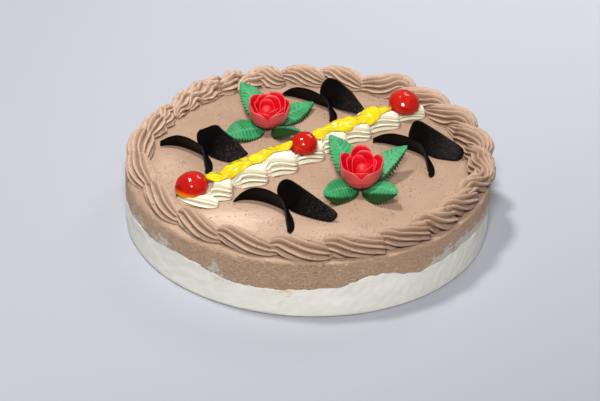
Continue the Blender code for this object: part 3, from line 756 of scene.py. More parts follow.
# Where a stroke starts and ends along the line, how far it is shifted aside, and its size.
CREAM_STROKES = ((0, 20, -1.5, 1.0), (23, 49, 0, 1.0), (47, 73.5, 0, 1.0), (71, 97, 1.2, 0.96),
                 (95, 118, 2.2, 0.94), (113, 139, 3.4, 0.94), (136, 165, 4.0, 0.9), (162, 187, 2.5, 0.66))
# Each key: place in the stroke, part of its length, across, height, radius (mm), spin (degrees).
CREAM_KEYS = ((0, 0, -7.5, 2.6, 2.0, -40), (.12, .10, -5.8, 3.2, 6.0, -26), (.3, .27, -4.8, 2.6, 9.0, -6),
              (.5, .48, -6.2, 2.3, 9.8, 3), (.7, .7, -8.8, 2.2, 9.0, 2), (.86, .88, -11.2, 2.1, 8.0, -6),
              (.96, 1.0, -12.8, 2.0, 6.8, -12), (1, 1.04, -13.4, 1.9, 4.2, -15))
# The first stroke lies low and runs towards us, under the cherry.
FIRST_KEYS = ((0, -11, 1, .8, .9, 20), (.15, -9.8, -2, 1.2, 2.6, 14), (.4, -6.6, -8, 1.6, 4.4, 4),
              (.7, -1.6, -14.8, 1.6, 5.0, -4), (.9, 2.4, -19.0, 1.3, 4.0, -12),
              (1, 4.6, -21.2, 1.0, 2.2, -18))
CREAM_STEPS = 48                    # rings along a stroke
CREAM_ROUND = 112                   # points in a ring
FIRST_RIDGES, CREAM_RIDGES = 8, 14
CREAM_TEAR = 0.010
CREAM_FAR = 1.28                    # the far side of a stroke is this much wider
# How deep the grooves are round a ring, from the near side over the crest.
near_side = np.clip((1.75 - np.linspace(RING_FROM, RING_TO, CREAM_ROUND)) / 0.7, 0, 1)
CREAM_DEPTH = 0.56 * (0.14 + 0.86 * near_side)


def on_cream(along, across):
    """Points on the cake at places along the cream's line and across it."""
    along, across = np.asarray(along)[..., None], np.asarray(across)[..., None]
    return CREAM_START + along * CREAM_AHEAD + across * CREAM_ASIDE


def along_across(spots):
    """The places along the cream's line and across it of points in metres, in mm."""
    x, y = ((spots[..., k] - CREAM_START[k]) / MM for k in (0, 1))
    flat, steep = CREAM_AHEAD
    return x * flat + y * steep, y * flat - x * steep


def cream_rope(number, keys, start, length, shift, size, ridges):
    """The rings of one stroke of the cream."""
    part, across, height, radius, spin = through_keys(np.linspace(0, 1, CREAM_STEPS), keys).T
    flat = on_cream((start + length * part) * MM, (across + shift) * MM)
    centres = np.concatenate([flat, (TOP + height * size * MM)[:, None]], axis=1)
    return ridged_rope(centres, np.maximum(radius, 0.5) * MM * size, np.radians(spin), ridges,
                       CREAM_DEPTH, CREAM_ROUND, CREAM_TEAR, 300 + 2 * number, far=CREAM_FAR)


cream_ropes = [cream_rope(0, FIRST_KEYS, 0, 1, 0, 1.0, FIRST_RIDGES)]
cream_ropes += [cream_rope(number, CREAM_KEYS, start, end - start, shift, size, CREAM_RIDGES)
                for number, (start, end, shift, size) in enumerate(CREAM_STROKES, 1)]
print("cream strokes:", len(cream_ropes))

# %% [markdown]
# ## Yellow jelly
# Two ribbons of clear yellow jelly were spooned along the crest and took its shape. So the
# height of the cream is measured on a fine grid, smoothed, and the ribbons are laid over it.
# Jelly keeps no sharp edge: it is lumpy, wet and lets light through.

# %% How high the cream stands
# A grid of 1 mm squares, along the cream's line and across it.
GRID_START, GRID_SIZE = (-20, -30), (215, 50)
SMOOTHINGS = 9
cream_height = np.zeros(GRID_SIZE)
for rings in cream_ropes:
    along, across = along_across(rings.reshape(-1, 4))
    i = np.clip(np.round(along - GRID_START[0]).astype(int), 0, GRID_SIZE[0] - 1)
    j = np.clip(np.round(across - GRID_START[1]).astype(int), 0, GRID_SIZE[1] - 1)
    np.maximum.at(cream_height, (i, j), rings[..., 2].ravel() / MM - TOP / MM)
for _ in range(SMOOTHINGS):
    cream_height = sum(np.roll(cream_height, shift, axis) for shift, axis in
                       ((1, 0), (-1, 0), (1, 1), (-1, 1), (0, 0))) / 5


def crest_height(along, across):
    """Smoothed height of the cream over the cake, in mm, at places in mm."""
    u = np.clip(along - GRID_START[0], 0, GRID_SIZE[0] - 2)
    v = np.clip(across - GRID_START[1], 0, GRID_SIZE[1] - 2)
    i, j = u.astype(int), v.astype(int)
    u, v = u - i, v - j
    return ((1 - u) * ((1 - v) * cream_height[i, j] + v * cream_height[i, j + 1])
            + u * ((1 - v) * cream_height[i + 1, j] + v * cream_height[i + 1, j + 1]))


print("cream stands", round(float(cream_height.max()), 1), "mm high")

# %% Jelly finish, and where it lies
# Each key: place along the line, middle across it, half width, all in mm.
JELLIES = {
    "jelly_left": ((8.2, -5.2, 4.6), (10.5, -5.6, 5.9), (14, -4.9, 6.9), (18.5, -4.0, 6.8), (23, -3.7, 5.9),
                   (28, -3.7, 5.8), (34, -3.3, 6.1), (41, -1.4, 6.9), (47, -0.9, 6.7), (53, -1.7, 5.7),
                   (58, -0.7, 5.7), (64, 0.9, 6.2), (69, 1.5, 6.7), (74, 0.0, 5.5), (79, -1.5, 3.5)),
    "jelly_right": ((96, -0.9, 3.4), (100.5, -1.7, 5.4), (107, -0.3, 5.2), (114, 0.5, 6.0), (119, -0.6, 7.6),
                    (123.5, -0.6, 8.4), (128, -0.3, 7.1), (133, -1.3, 6.0), (137, -1.5, 6.0),
                    (141.5, -2.6, 6.5), (147, -1.2, 7.1), (153, 0.8, 7.0), (159, 1.0, 6.2), (165, -0.8, 3.2)),
}
JELLY_DEPTH = 2.8                   # mm
RIBBON_STEPS, RIBBON_ROUND = 150, 48
OVER_RIDGES = (-5, -2.5, 0, 2.5, 5) # mm along the line over which a ribbon bridges the ridges
JELLY, JELLY_LIGHT = (0.76, 0.56, 0.001), (0.86, 0.71, 0.005)
jelly_finish = Finish("yellow_jelly", 0.1, Subsurface_Weight=0.35, Coat_Weight=0.7, IOR=1.42)
jelly_finish.set(Subsurface_Radius=(0.005, 0.004, 0.0005), Coat_Roughness=0.04)
jelly_clouds = jelly_finish.between(jelly_finish.noise(9 * MM, 3), 0.35, 0.65)
jelly_finish.colour(jelly_finish.mix(jelly_clouds, JELLY, JELLY_LIGHT))
jelly_finish.bump(jelly_finish.noise(4 * MM, 2), 0.30 * MM)
print("jelly finish:", jelly_finish.material.name)

# %% Lay the jelly over the crest
def draped(keys, along, across):
    """How far off a ribbon's middle places are (1 at its edge), and its height there in mm."""
    within = np.clip(along, keys[0][0], keys[-1][0])
    middle, half = through_keys(within.ravel(), keys).T.reshape(2, *along.shape)
    off = np.abs(across - middle) / half
    near = [crest_height(along + shift, middle) for shift in OVER_RIDGES]
    hang = np.log(np.mean(np.exp(near), axis=0)) - 0.4 - 2.4 * np.clip(off, 0, 1.2) ** 2
    return off, np.logaddexp(2 * crest_height(along, across), 2 * hang) / 2 + 0.6


def ribbon_rings(keys, seed):
    """Rings of a ribbon that lies over the crest and hangs down a little at both edges."""
    t = np.linspace(0, 1, RIBBON_STEPS)
    along = keys[0][0] - 1 + (keys[-1][0] + 2 - keys[0][0]) * t
    middle, half = through_keys(np.clip(along, keys[0][0], keys[-1][0]), keys).T
    half = half * np.sqrt(np.clip(1 - np.abs(2 * t - 1) ** 16, 0.001, 1))
    angle = np.linspace(0, 2 * np.pi, RIBBON_ROUND, endpoint=False)
    across = middle[:, None] + half[:, None] * np.cos(angle)
    along = along[:, None] + 0 * across
    thick = JELLY_DEPTH / 2 * np.minimum(1, half / 3)[:, None] * np.sin(angle)
    rise = draped(keys, along, across)[1]
    height = TOP + (rise + thick) * MM
    rings = np.concatenate([on_cream(along * MM, across * MM), height[..., None]], axis=-1)
    lump = 0.7 * wobble(rings, 9 * MM, seed) + 0.22 * wobble(rings, 5 * MM, seed + 1)
    rings[..., 2] += lump * np.maximum(np.sin(angle), 0) * MM
    return rings


for number, (name, keys) in enumerate(JELLIES.items()):
    rings = ribbon_rings(keys, 400 + 2 * number)
    make_piece(name + "_ribbon", *tube(rings), jelly_finish, [name], "jelly")

# %% [markdown]
# ## Glace cherries
# Candied cherries cut in half: domes of clear red syrup-soaked fruit, uneven and very glossy.
# The left one sits in a lick of jelly that has run out under it and glows orange against it.

# %% Cherries
# Each cherry: middle of its base, the base's height over the cake and the radius, all in mm,
# its flatness, and its lean to a side.
CHERRIES = {
    "cherry_left": ((-73.6, -45.2), 4.4, 10.6, 0.8, 0.0),
    "cherry_middle": ((-3.2, 6.8), 6.0, 9.3, 0.93, 0.02),
    "cherry_right": ((64.2, 65.4), 6.2, 10.7, 0.88, -0.16),
}
CHERRY_DEEP, CHERRY_RED = (0.46, 0.004, 0.002), (0.62, 0.016, 0.003)
CHERRY_GLAZED = (0.90, 0.40, 0.004)
GLAZED = "cherry_left"              # the one with jelly under it
GLAZE_SIDE, GLAZE_SPREAD = math.radians(238), 1.05
CUT_AT = 0.3                        # where its flat cut is, as a share of its half height
BALL_ROWS, BALL_ROUND = 60, 72
cherry_finish = Finish("candied_cherry", 0.1, Subsurface_Weight=0.3, Coat_Weight=0.2, IOR=1.4)
cherry_finish.set(Subsurface_Radius=(0.008, 0.0006, 0.0004), Coat_Roughness=0.03)
flesh = cherry_finish.between(cherry_finish.noise(9 * MM, 3), 0.35, 0.7)
flesh = cherry_finish.mix(flesh, CHERRY_DEEP, CHERRY_RED)
lick = cherry_finish.between(cherry_finish.attribute("glaze"), 0.15, 0.9)
cherry_finish.colour(cherry_finish.mix(lick, flesh, CHERRY_GLAZED))
cherry_finish.bump(cherry_finish.noise(4.6 * MM, 2), 0.40 * MM)

polar = np.linspace(0.01, np.pi - 0.01, BALL_ROWS)[:, None]
turn_round = np.linspace(0, 2 * np.pi, BALL_ROUND, endpoint=False)
ball = np.stack([np.sin(polar) * np.cos(turn_round), np.sin(polar) * np.sin(turn_round),
                 np.cos(polar) + 0 * turn_round], axis=-1)
from_glaze = (turn_round - GLAZE_SIDE + math.pi) % (2 * math.pi) - math.pi
for number, (name, (centre, base, size, flatness, lean)) in enumerate(CHERRIES.items()):
    uneven = 1 + 0.018 * wobble(ball * 10 * MM, 13 * MM, 500 + number)
    dome = ball * size * MM * uneven[..., None] * np.array([1, 1, flatness])
    cut_face = CUT_AT * size * flatness * MM
    low = np.clip(1 - (dome[..., 2] + cut_face) / (3.6 * MM), 0, 1) * (name == GLAZED)
    glaze = low * np.exp(-(from_glaze / GLAZE_SPREAD) ** 2)
    dome[..., :2] *= 1 + 0.20 * glaze[..., None]
    dome[..., 0] += lean * np.maximum(dome[..., 2], 0)
    dome[..., 2] = np.maximum(dome[..., 2], -cut_face) + cut_face + TOP + base * MM
    dome[..., :2] += np.array(centre) * MM
    cherry = make_piece(name + "_dome", *tube(dome), cherry_finish, [name], "cherry")
    paint_rings(cherry, "glaze", glaze)

# %% [markdown]
# Where a cherry or the jelly presses on the cream, the cream gives way. So before the cream is
# made, its points under a topping are lowered to just below that topping.

# %% Press the toppings into the cream and make it
PRESS_GAP = 0.35                    # mm of air under a topping
NO_LIMIT = 99.0


def pressed(rings):
    """The rings with every point under a topping moved below it, sloping up beside a cherry."""
    along, across = along_across(rings)
    over = (rings[..., 2] - TOP) / MM
    limit = np.full(over.shape, NO_LIMIT)
    for keys in JELLIES.values():
        off, rise = draped(keys, along, across)
        inside = (off < 1.08) & (along > keys[0][0] - 1.5) & (along < keys[-1][0] + 1.5)
        underside = rise - PRESS_GAP - JELLY_DEPTH / 2 * np.sqrt(np.clip(1.1 - off ** 2, 0, 1))
        limit = np.where(inside, np.minimum(limit, underside), limit)
    for centre, base, size, _, _ in CHERRIES.values():
        far = np.hypot(rings[..., 0] / MM - centre[0], rings[..., 1] / MM - centre[1])
        beside = np.maximum(far - size - 0.4, 0)
        slope = base - PRESS_GAP + 0.9 * beside + 0.3 * beside ** 2
        limit = np.where(beside < 4, np.minimum(limit, slope), limit)
    lowered = rings.copy()
    lowered[..., 2] = TOP + np.minimum(over, limit) * MM
    return lowered


ropes_piece("cream_line", [pressed(rings) for rings in cream_ropes], whipped_cream(), ["cream"], "cream")

# %% [markdown]
# ## Thin things: petals, leaves and chocolate
# Sugar petals, wafer leaves and chocolate shavings are all thin sheets with two faces. A
# Solidify modifier could give a flat grid its thickness, but a sheet whose two faces are made
# together can be thinner at its edge, which is what catches the light on real ones.

# %% Sheet helper
EDGE_THICKNESS = 0.35               # of a sheet's thickness is left at its rim


def sheet(middle, thickness):
    """Points and faces of a closed sheet about a grid of middle points, thin at its rim."""
    rows, columns = middle.shape[:2]
    along = np.gradient(middle, axis=0)
    across = np.gradient(middle, axis=1)
    normal = np.cross(along, across)
    normal /= np.linalg.norm(normal, axis=-1)[..., None] + 1e-12
    r = np.linspace(-1, 1, rows)[:, None]
    c = np.linspace(-1, 1, columns)[None]
    body = np.sqrt(np.clip(1 - np.maximum(np.abs(r), np.abs(c)) ** 14, 0.0, 1))
    half = thickness / 2 * (EDGE_THICKNESS + (1 - EDGE_THICKNESS) * body)[..., None] * normal
    points = np.concatenate([(middle + half).reshape(-1, 3), (middle - half).reshape(-1, 3)])
    i, j = np.meshgrid(np.arange(rows - 1), np.arange(columns - 1), indexing="ij")
    a = (i * columns + j).ravel()
    back = rows * columns
    front = np.stack([a, a + 1, a + columns + 1, a + columns], axis=1)
    faces = front.tolist() + (front[:, ::-1] + back).tolist()
    loop = ([(0, j) for j in range(columns)] + [(i, columns - 1) for i in range(1, rows)]
            + [(rows - 1, j) for j in range(columns - 2, -1, -1)]
            + [(i, 0) for i in range(rows - 2, 0, -1)])
    edge = [i * columns + j for i, j in loop]
    faces += [(b, a, a + back, b + back) for a, b in zip(edge, edge[1:] + edge[:1])]
    return points, faces


print("a sheet's rim keeps", EDGE_THICKNESS, "of its thickness")

# %% [markdown]
# ## Sugar roses
# Each rose is a cup of pressed sugar petals on a narrow foot: broad rounded petals outside,
# narrower ones rolled round a smooth bud inside. Equal petals set round in circles would look
# like a paper flower, so every petal has its own direction, reach and height. The outside is a
# powdery coral, and the colour pools to a saturated red inside the cup.

# %% Rose finish
CORAL, CORAL_LIGHT = (0.71, 0.066, 0.072), (0.80, 0.115, 0.122)
CUP_RED, CUP_RED_LIGHT = (0.76, 0.003, 0.014), (0.86, 0.010, 0.030)
rose_finish = Finish("sugar_petal", 0.38, Subsurface_Weight=0.15, Specular_IOR_Level=0.35)
rose_finish.set(Subsurface_Radius=(0.003, 0.0005, 0.0006))
petal_cloud = rose_finish.between(rose_finish.noise(8 * MM, 3), 0.3, 0.7)
outer_tone = rose_finish.mix(petal_cloud, CORAL, CORAL_LIGHT)
inner_tone = rose_finish.mix(petal_cloud, CUP_RED, CUP_RED_LIGHT)
rose_finish.colour(rose_finish.mix(rose_finish.attribute("inside"), outer_tone, inner_tone))
rose_finish.bump(rose_finish.noise(3 * MM, 3), 0.08 * MM)

print("rose finish:", rose_finish.material.name)

# %% Petals and buds
# Each rose: where its foot stands, the bud's offset, radius and height in mm, and its petals,
# each a direction in degrees, reach and height in mm, half its spread in degrees, and 1 in the
# outer circle or 0 in the inner one.
ROSES = {
    "rose_back": ((-27.6, 42.6), (-1.4, -0.8, 4.0, 17.0),
                  ((-132, 13.4, 17.2, 52, 1), (-52, 12.2, 16.8, 50, 1), (-176, 12.4, 18.8, 52, 1),
                   (150, 12.6, 20.4, 56, 1), (12, 13.6, 18.6, 56, 1), (62, 12.4, 20.8, 60, 1),
                   (104, 11.4, 19.2, 56, 1), (76, 9.2, 19.4, 70, 0), (176, 9.0, 18.2, 66, 0),
                   (-24, 9.4, 16.8, 64, 0), (-112, 8.8, 15.4, 60, 0), (112, 6.2, 18.2, 84, 0),
                   (-40, 6.0, 16.6, 84, 0))),
    "rose_front": ((34.0, -31.0), (0.2, -1.0, 4.0, 18.4),
                   ((-134, 13.6, 18.8, 55, 1), (-48, 12.5, 18.2, 55, 1), (162, 13.6, 21.8, 56, 1),
                    (16, 13.2, 21.4, 56, 1), (92, 12.0, 24.8, 54, 1), (74, 9.2, 22.6, 70, 0),
                    (156, 9.4, 20.0, 60, 0), (14, 9.0, 19.4, 60, 0), (-90, 8.6, 16.4, 70, 0),
                    (118, 6.2, 20.8, 84, 0), (-30, 6.0, 18.2, 84, 0))),
}
# How far out a petal is at each part of its height, as a share of its reach.
PETAL_BOWL = ((0, .13), (.08, .16), (.14, .34), (.25, .62), (.40, .84), (.60, .97), (.80, 1.0), (1, .97))
PETAL_ROWS, PETAL_COLUMNS = 26, 29
PETAL_THICKNESS = 1.0               # mm
BUD_FOOT = 1.5                      # mm over the rose's foot
BUD_RINGS, BUD_ROUND = 30, 48
ROSE_GAP = 0.2 * MM                 # between the cake's top and a rose


def petal_grid(direction, reach, top, spread):
    """Middle points of one cupped petal with a rounded rim, in mm about the rose's foot."""
    v = np.linspace(0, 1, PETAL_ROWS)[:, None]
    u = np.linspace(-1, 1, PETAL_COLUMNS)[None]
    climb = v * (1 - 0.36 * np.abs(u) ** 3.2)
    bowl = soft_keys(climb.ravel(), PETAL_BOWL).reshape(climb.shape)
    angle = math.radians(direction) + u * math.radians(spread) * (0.8 + 0.2 * np.sin(np.pi * v))
    out = reach * bowl * (1 - 0.11 * u ** 2) + 0.9 * v ** 6 * (1 - u ** 2)
    return np.stack([out * np.cos(angle), out * np.sin(angle), top * climb], axis=-1)


def bud_rings(offset_x, offset_y, radius, top):
    """Rings of the smooth rolled bud in the middle."""
    v = np.linspace(0, 1, BUD_RINGS)[:, None]
    a = np.linspace(0, 2 * np.pi, BUD_ROUND, endpoint=False)[None]
    closing = np.sqrt(np.clip(1 - np.abs(2.6 * v - 1.6) ** 2.4, 0.002, 1))
    width = np.where(v > 0.6, closing, 0.45 + 0.9 * v)
    out = radius * width * (1 + 0.05 * np.cos(a - 5 * v))
    return np.stack([offset_x + out * np.cos(a), offset_y + out * np.sin(a),
                     BUD_FOOT + (top - BUD_FOOT) * v + 0 * a], axis=-1)


print("petals:", {name: len(petals) for name, (foot, bud, petals) in ROSES.items()})

# %% Make the roses
for name, (foot, bud, petals) in ROSES.items():
    parts, inside = [], []
    for direction, reach, top, spread, outer in petals:
        points, faces = sheet(petal_grid(direction, reach, top, spread), PETAL_THICKNESS)
        turned_to = math.radians(direction)
        away = points[:, :2] @ np.array([math.cos(turned_to), math.sin(turned_to)])
        half = len(points) // 2
        first_is_outer = away[:half].mean() > away[half:].mean()
        hollow = np.repeat([0.0, 1.0] if first_is_outer else [1.0, 0.0], half)
        rim = np.clip((points[:, 2] / top - 0.86) / 0.14, 0, 1)
        parts.append((points, faces))
        inside.append(np.maximum(hollow, 0.75 * (1 - outer)) * (1 - 0.45 * rim))
    parts.append(tube(bud_rings(*bud)))
    bud_height, bud_top = parts[-1][0][:, 2], bud[3]
    inside.append(np.clip(1.15 - (bud_height / bud_top) ** 4 * 0.6, 0, 1))
    points, faces = joined(parts)
    points = points * MM + np.array([foot[0] * MM, foot[1] * MM, TOP + ROSE_GAP])
    flower = make_piece(name + "_petals", points, faces, rose_finish, [name], "rose")
    paint(flower, "inside", np.concatenate(inside))

# %% [markdown]
# ## Wafer leaves
# The leaves are pressed wafer: a toothed edge, a pale raised midrib and fine veins that lean
# forward. Each leaf is tipped towards us and its near margin is folded down. The folded part and
# the whole underside are painted dark: painted shade for the shade under the fold. A flat leaf with a picture
# on it would lose that fold.

# %% Leaf finish and shapes
# Each leaf: its rose, distance of its foot, heading, length, width, how it rises, how steeply it
# is tipped, the share of its width that is folded down, and how steeply (all angles in degrees).
LEAVES = {
    "leaf_back_a": ("rose_back", 4, 122, 37, 15.5, 24, 12, 0.03, 50),
    "leaf_back_b": ("rose_back", 5, 43, 36, 17, 6, 10, 0.12, 60),
    "leaf_back_c": ("rose_back", 5, 219, 31, 18, 9, 26, 0.14, 68),
    "leaf_back_d": ("rose_back", 6, 311, 30, 15, 22, -22, 0.48, 70),
    "leaf_front_a": ("rose_front", 5, 123, 38, 16.5, 30, 8, 0.03, 50),
    "leaf_front_b": ("rose_front", 5, 41, 38, 15, 25, 14, 0.18, 60),
    "leaf_front_c": ("rose_front", 4, 225, 31, 20, 15, 42, 0.36, 72),
    "leaf_front_d": ("rose_front", 4, 314, 31, 19, 20, 22, 0.40, 72),
}
LEAF_ROWS, LEAF_COLUMNS = 141, 41
TEETH, VEINS = 16, 11
PROBE_ROW = 60                      # there it is seen which face of the sheet looks up
LEAF_THICKNESS = 0.8                # mm
LEAF_START, LEAF_LOWEST = 1.2, 0.55 # mm over the cake's top
BLUNT, POINTED = 0.62, 0.86         # leaves c and d are blunter than a and b
GREEN, GREEN_LIGHT = (0.017, 0.21, 0.066), (0.041, 0.33, 0.120)
VEIN_GREEN, UNDERSIDE_SHADE = (0.12, 0.52, 0.26), (0.014, 0.055, 0.010)
leaf_finish = Finish("wafer_leaf", 0.45, Specular_IOR_Level=0.35)
patch = leaf_finish.between(leaf_finish.noise(7 * MM, 4), 0.35, 0.65)
leaf_tone = leaf_finish.mix(patch, GREEN, GREEN_LIGHT)
leaf_tone = leaf_finish.mix(leaf_finish.attribute("vein"), leaf_tone, VEIN_GREEN)
# Painted shade: where `under` is painted, on the folded part and the underside, the leaf is dark.
leaf_tone = leaf_finish.mix(leaf_finish.attribute("under"), leaf_tone, UNDERSIDE_SHADE)
leaf_finish.colour(leaf_tone)
leaf_finish.bump(leaf_finish.noise(2.2 * MM, 3), 0.09 * MM)
print("leaf finish:", leaf_finish.material.name)

# %% Make the leaves
a = np.linspace(0, 1, LEAF_ROWS)[:, None]           # along a leaf, from its foot
q = np.linspace(0, 1, LEAF_COLUMNS)[None]           # across it, towards us
for number, (name, leaf) in enumerate(LEAVES.items()):
    flower, offset, heading, length, width, rise, tip, folded, fold = leaf
    foot = ROSES[flower][0]
    heading, rise, tip, fold = (math.radians(value) for value in (heading, rise, tip, fold))
    near = np.array([math.sin(heading), -math.cos(heading)]) * (1 if math.cos(heading) > 0 else -1)
    crease, rib_at = 1 - folded, (1 - folded) / 2
    blunt = BLUNT if name[-1] in "cd" else POINTED
    full = width * (np.maximum(np.sin(np.pi * a ** 0.74), 0) ** blunt + 0.04)
    saw = (a * TEETH + 0.1 * number) % 1
    toothed = np.sin(np.pi * a) ** 0.4 * (0.14 * saw - 0.06)
    at_edge = np.maximum(np.clip(1 - q / 0.16, 0, 1), np.clip((q - 0.84) / 0.16, 0, 1))
    reach = full * ((q - rib_at) * (1 + 2 * at_edge * toothed))
    steep = tip + (fold - tip) * np.clip((q - crease) / 0.08 + 0.5, 0, 1)
    step = np.diff(reach, axis=1, prepend=reach[:, :1])
    across, fall = np.cumsum(step * np.cos(steep), axis=1), np.cumsum(step * np.sin(steep), axis=1)
    middle = int(round(rib_at * (LEAF_COLUMNS - 1)))
    across, fall = across - across[:, middle:middle + 1], fall - fall[:, middle:middle + 1]
    off_rib = np.abs(q - rib_at)
    rib = np.exp(-(off_rib * full / 0.55) ** 2) * np.clip(1.2 - a, 0, 1)
    vein = np.abs(np.sin(np.pi * (a * VEINS - 2.4 * off_rib))) ** 5 * np.clip(1 - 1.4 * off_rib, 0, 1)
    sides = 0.9 * off_rib * np.sin(np.pi * a)
    ridge = length * math.sin(rise) * (a + 0.22 * np.sin(np.pi * a))
    height = TOP / MM + LEAF_START + ridge - fall + 0.35 * rib + 0.28 * vein + sides
    along = offset + length * math.cos(rise) * a + 0 * q
    x = foot[0] + along * math.cos(heading) + across * near[0]
    y = foot[1] + along * math.sin(heading) + across * near[1]
    grid = np.stack([x, y, np.maximum(height, TOP / MM + LEAF_LOWEST)], axis=-1) * MM
    blade = make_piece(name + "_blade", *sheet(grid, LEAF_THICKNESS * MM), leaf_finish, [name], "leaf")
    marks = np.maximum(0.35 * vein, 0.9 * rib).ravel()
    spot = (PROBE_ROW, middle)
    upward = np.cross(np.gradient(grid, axis=0)[spot], np.gradient(grid, axis=1)[spot])[2] > 0
    # Painted shade: past the crease the upper face is painted dark with a toothed edge, and the whole lower
    # face is painted dark.
    shaded = np.clip((q - crease - 0.09 * (saw - 0.5)) / 0.03 + 0.5, 0, 1)
    paint(blade, "vein", np.concatenate([marks, marks]))
    faces_up, faces_down = shaded.ravel(), np.ones(shaded.size)
    paint(blade, "under", np.concatenate([faces_up, faces_down] if upward else [faces_down, faces_up]))

# %% [markdown]
# ## Chocolate shavings
# Thin dark chocolate, bent while it was soft. Half of the pieces stand on their long edge and
# twist over towards their near end; the others are broad shards that lean back. They could all
# be copies of one outline, but broken chocolate never repeats, so each has its own.

# %% Chocolate finish and a plate from an outline
CHOCOLATE, CHOCOLATE_HAZE = (0.0016, 0.0009, 0.0007), (0.0044, 0.0028, 0.0025)
CHOCOLATE_DUSTY, SUGAR_SPECK = (0.013, 0.010, 0.010), (0.21, 0.18, 0.17)
CHOCOLATE_THICKNESS = 1.1           # mm
CHOCOLATE_GAP = 0.3                 # mm between the cake's top and a piece's foot


def dark_chocolate():
    """Nearly black and satin, with pale specks of sugar where `dust` is painted."""
    finish = Finish("dark_chocolate", 0.42, Specular_IOR_Level=0.07)
    specks = finish.math("MULTIPLY", finish.between(finish.cells(0.62 * MM), 0.32, 0.14),
                         finish.between(finish.noise(2.2 * MM, 3), 0.40, 0.58))
    dust = finish.math("MULTIPLY", specks, finish.attribute("dust"))
    haze = finish.between(finish.noise(12 * MM, 4), 0.35, 0.7)
    tone = finish.mix(haze, CHOCOLATE, CHOCOLATE_HAZE)
    tone = finish.mix(finish.math("MULTIPLY", finish.attribute("dust"), 0.5), tone, CHOCOLATE_DUSTY)
    finish.colour(finish.mix(dust, tone, SUGAR_SPECK))
    finish.bump(finish.noise(2.5 * MM, 4), 0.12 * MM)
    return finish


PLATE_ROUND, PLATE_RINGS = 120, 15


def travelled(corners):
    """How far along their line each of the corners is."""
    return np.concatenate([[0], np.cumsum(np.linalg.norm(np.diff(corners, axis=0), axis=1))])


def round_loop(corners):
    """A closed smooth line through the corners."""
    corners = np.array(corners, float)
    again = np.concatenate([corners[-3:], corners, corners[:4]])
    t = travelled(again)
    return through_keys(np.linspace(t[3], t[3 + len(corners)], PLATE_ROUND, endpoint=False),
                        np.column_stack([t, again]))


def plate(outline, place):
    """Rings of a thin plate: `place` puts (along, up, out) points of the plate in the world."""
    centre = outline.mean(axis=0)
    rings = []
    for side in (1, -1):
        for share in np.linspace(0.04, 1, PLATE_RINGS)[::side]:
            flat = centre + (outline - centre) * share
            half = side * CHOCOLATE_THICKNESS / 2 * math.sqrt(1 - 0.8 * share ** 24)
            rings.append(place(flat[:, 0], flat[:, 1], half))
    return np.array(rings)


chocolate_finish = dark_chocolate()
print("chocolate finish:", chocolate_finish.material.name)

# %% Strips on edge
# The line where each strip stands, in mm; how tall it is; and how high its far end starts.
STRIPS = {
    "strip_left": (((-98.3, 13.6), (-94.2, 14.4), (-89.6, 14.6), (-84.5, 13.4), (-79.7, 11.0),
                    (-75.2, 7.9), (-70.7, 4.3), (-66.4, 0.4), (-63.4, -5.5), (-62.2, -11.7),
                    (-62.9, -17.4), (-65.1, -20.7)),
                   11.2, 0.36),
    "strip_back": (((-19.4, 87.1), (-15.2, 86.3), (-10.4, 84.9), (-5.5, 82.6), (-0.6, 79.9), (3.8, 77.2),
                    (8.0, 74.4), (12.0, 71.6), (15.4, 68.4), (17.8, 63.9), (18.6, 59.0), (17.6, 54.4),
                    (15.3, 50.7)), 11.6, 0.12),
    "strip_front": (((-47.2, -52.8), (-43.0, -50.9), (-38.4, -50.1), (-33.3, -50.5), (-28.2, -52.0),
                     (-23.6, -54.4), (-19.3, -57.2), (-15.4, -60.4), (-12.2, -64.0), (-9.8, -68.6),
                     (-8.3, -73.8), (-7.8, -79.2), (-8.4, -84.4), (-10.0, -88.0)), 12.8, 0.06),
    "strip_right": (((42.5, 26.6), (46.6, 26.6), (51.3, 25.8), (56.6, 24.0), (61.9, 21.4), (66.8, 18.6),
                     (71.4, 15.4), (75.4, 11.6), (78.6, 7.0), (80.9, 1.6), (82.2, -4.0), (82.4, -9.4),
                     (81.6, -13.7), (79.7, -16.0)), 11.8, 0.32),
}
# Each key: part of the strip's length, how far its top edge leans over (mm), its share of the height.
STRIP_RISE = ((0, .6, 0), (.07, 1.5, .42), (.18, 2.6, .80), (.32, 3.6, .98), (.48, 4.3, 1.0),
              (.62, 5.0, .90), (.74, 5.6, .66), (.85, 5.6, .40), (.93, 4.6, .24), (1, 2.4, .10))
STRIP_STEPS, STRIP_ROWS = 96, 17
LOWEST_SHARE = 0.05                 # of a strip's height is left at its ends

s = np.linspace(0, 1, STRIP_STEPS)                  # along a strip
v = np.linspace(0, 1, STRIP_ROWS)                   # up it
for name, (stand, tall, start_height) in STRIPS.items():
    stand = np.array(stand)
    t = travelled(stand)
    path = through_keys(s * t[-1], np.column_stack([t, stand]))
    ahead = np.gradient(path, axis=0)
    ahead /= np.linalg.norm(ahead, axis=1)[:, None]
    hollow_side = np.stack([ahead[:, 1], -ahead[:, 0]], axis=1)
    lean, share = through_keys(s, STRIP_RISE).T
    share = np.maximum(share + start_height * (1 - share) * np.clip(1 - s / 0.4, 0, 1), LOWEST_SHARE)
    bow = lean[:, None] * (0.75 * v + 0.25 * v ** 2)
    grid = np.stack([path[:, :1] + hollow_side[:, :1] * bow, path[:, 1:] + hollow_side[:, 1:] * bow,
                     TOP / MM + CHOCOLATE_GAP + tall * share[:, None] * v], axis=-1) * MM
    curl = make_piece(name + "_curl", *sheet(grid, CHOCOLATE_THICKNESS * MM), chocolate_finish,
                      [name], "chocolate")
    edge = (v > 0.9) * np.clip((s[:, None] - 0.5) * 6, 0, 0.8) + 0 * bow
    paint(curl, "dust", np.concatenate([edge.ravel(), edge.ravel()]))

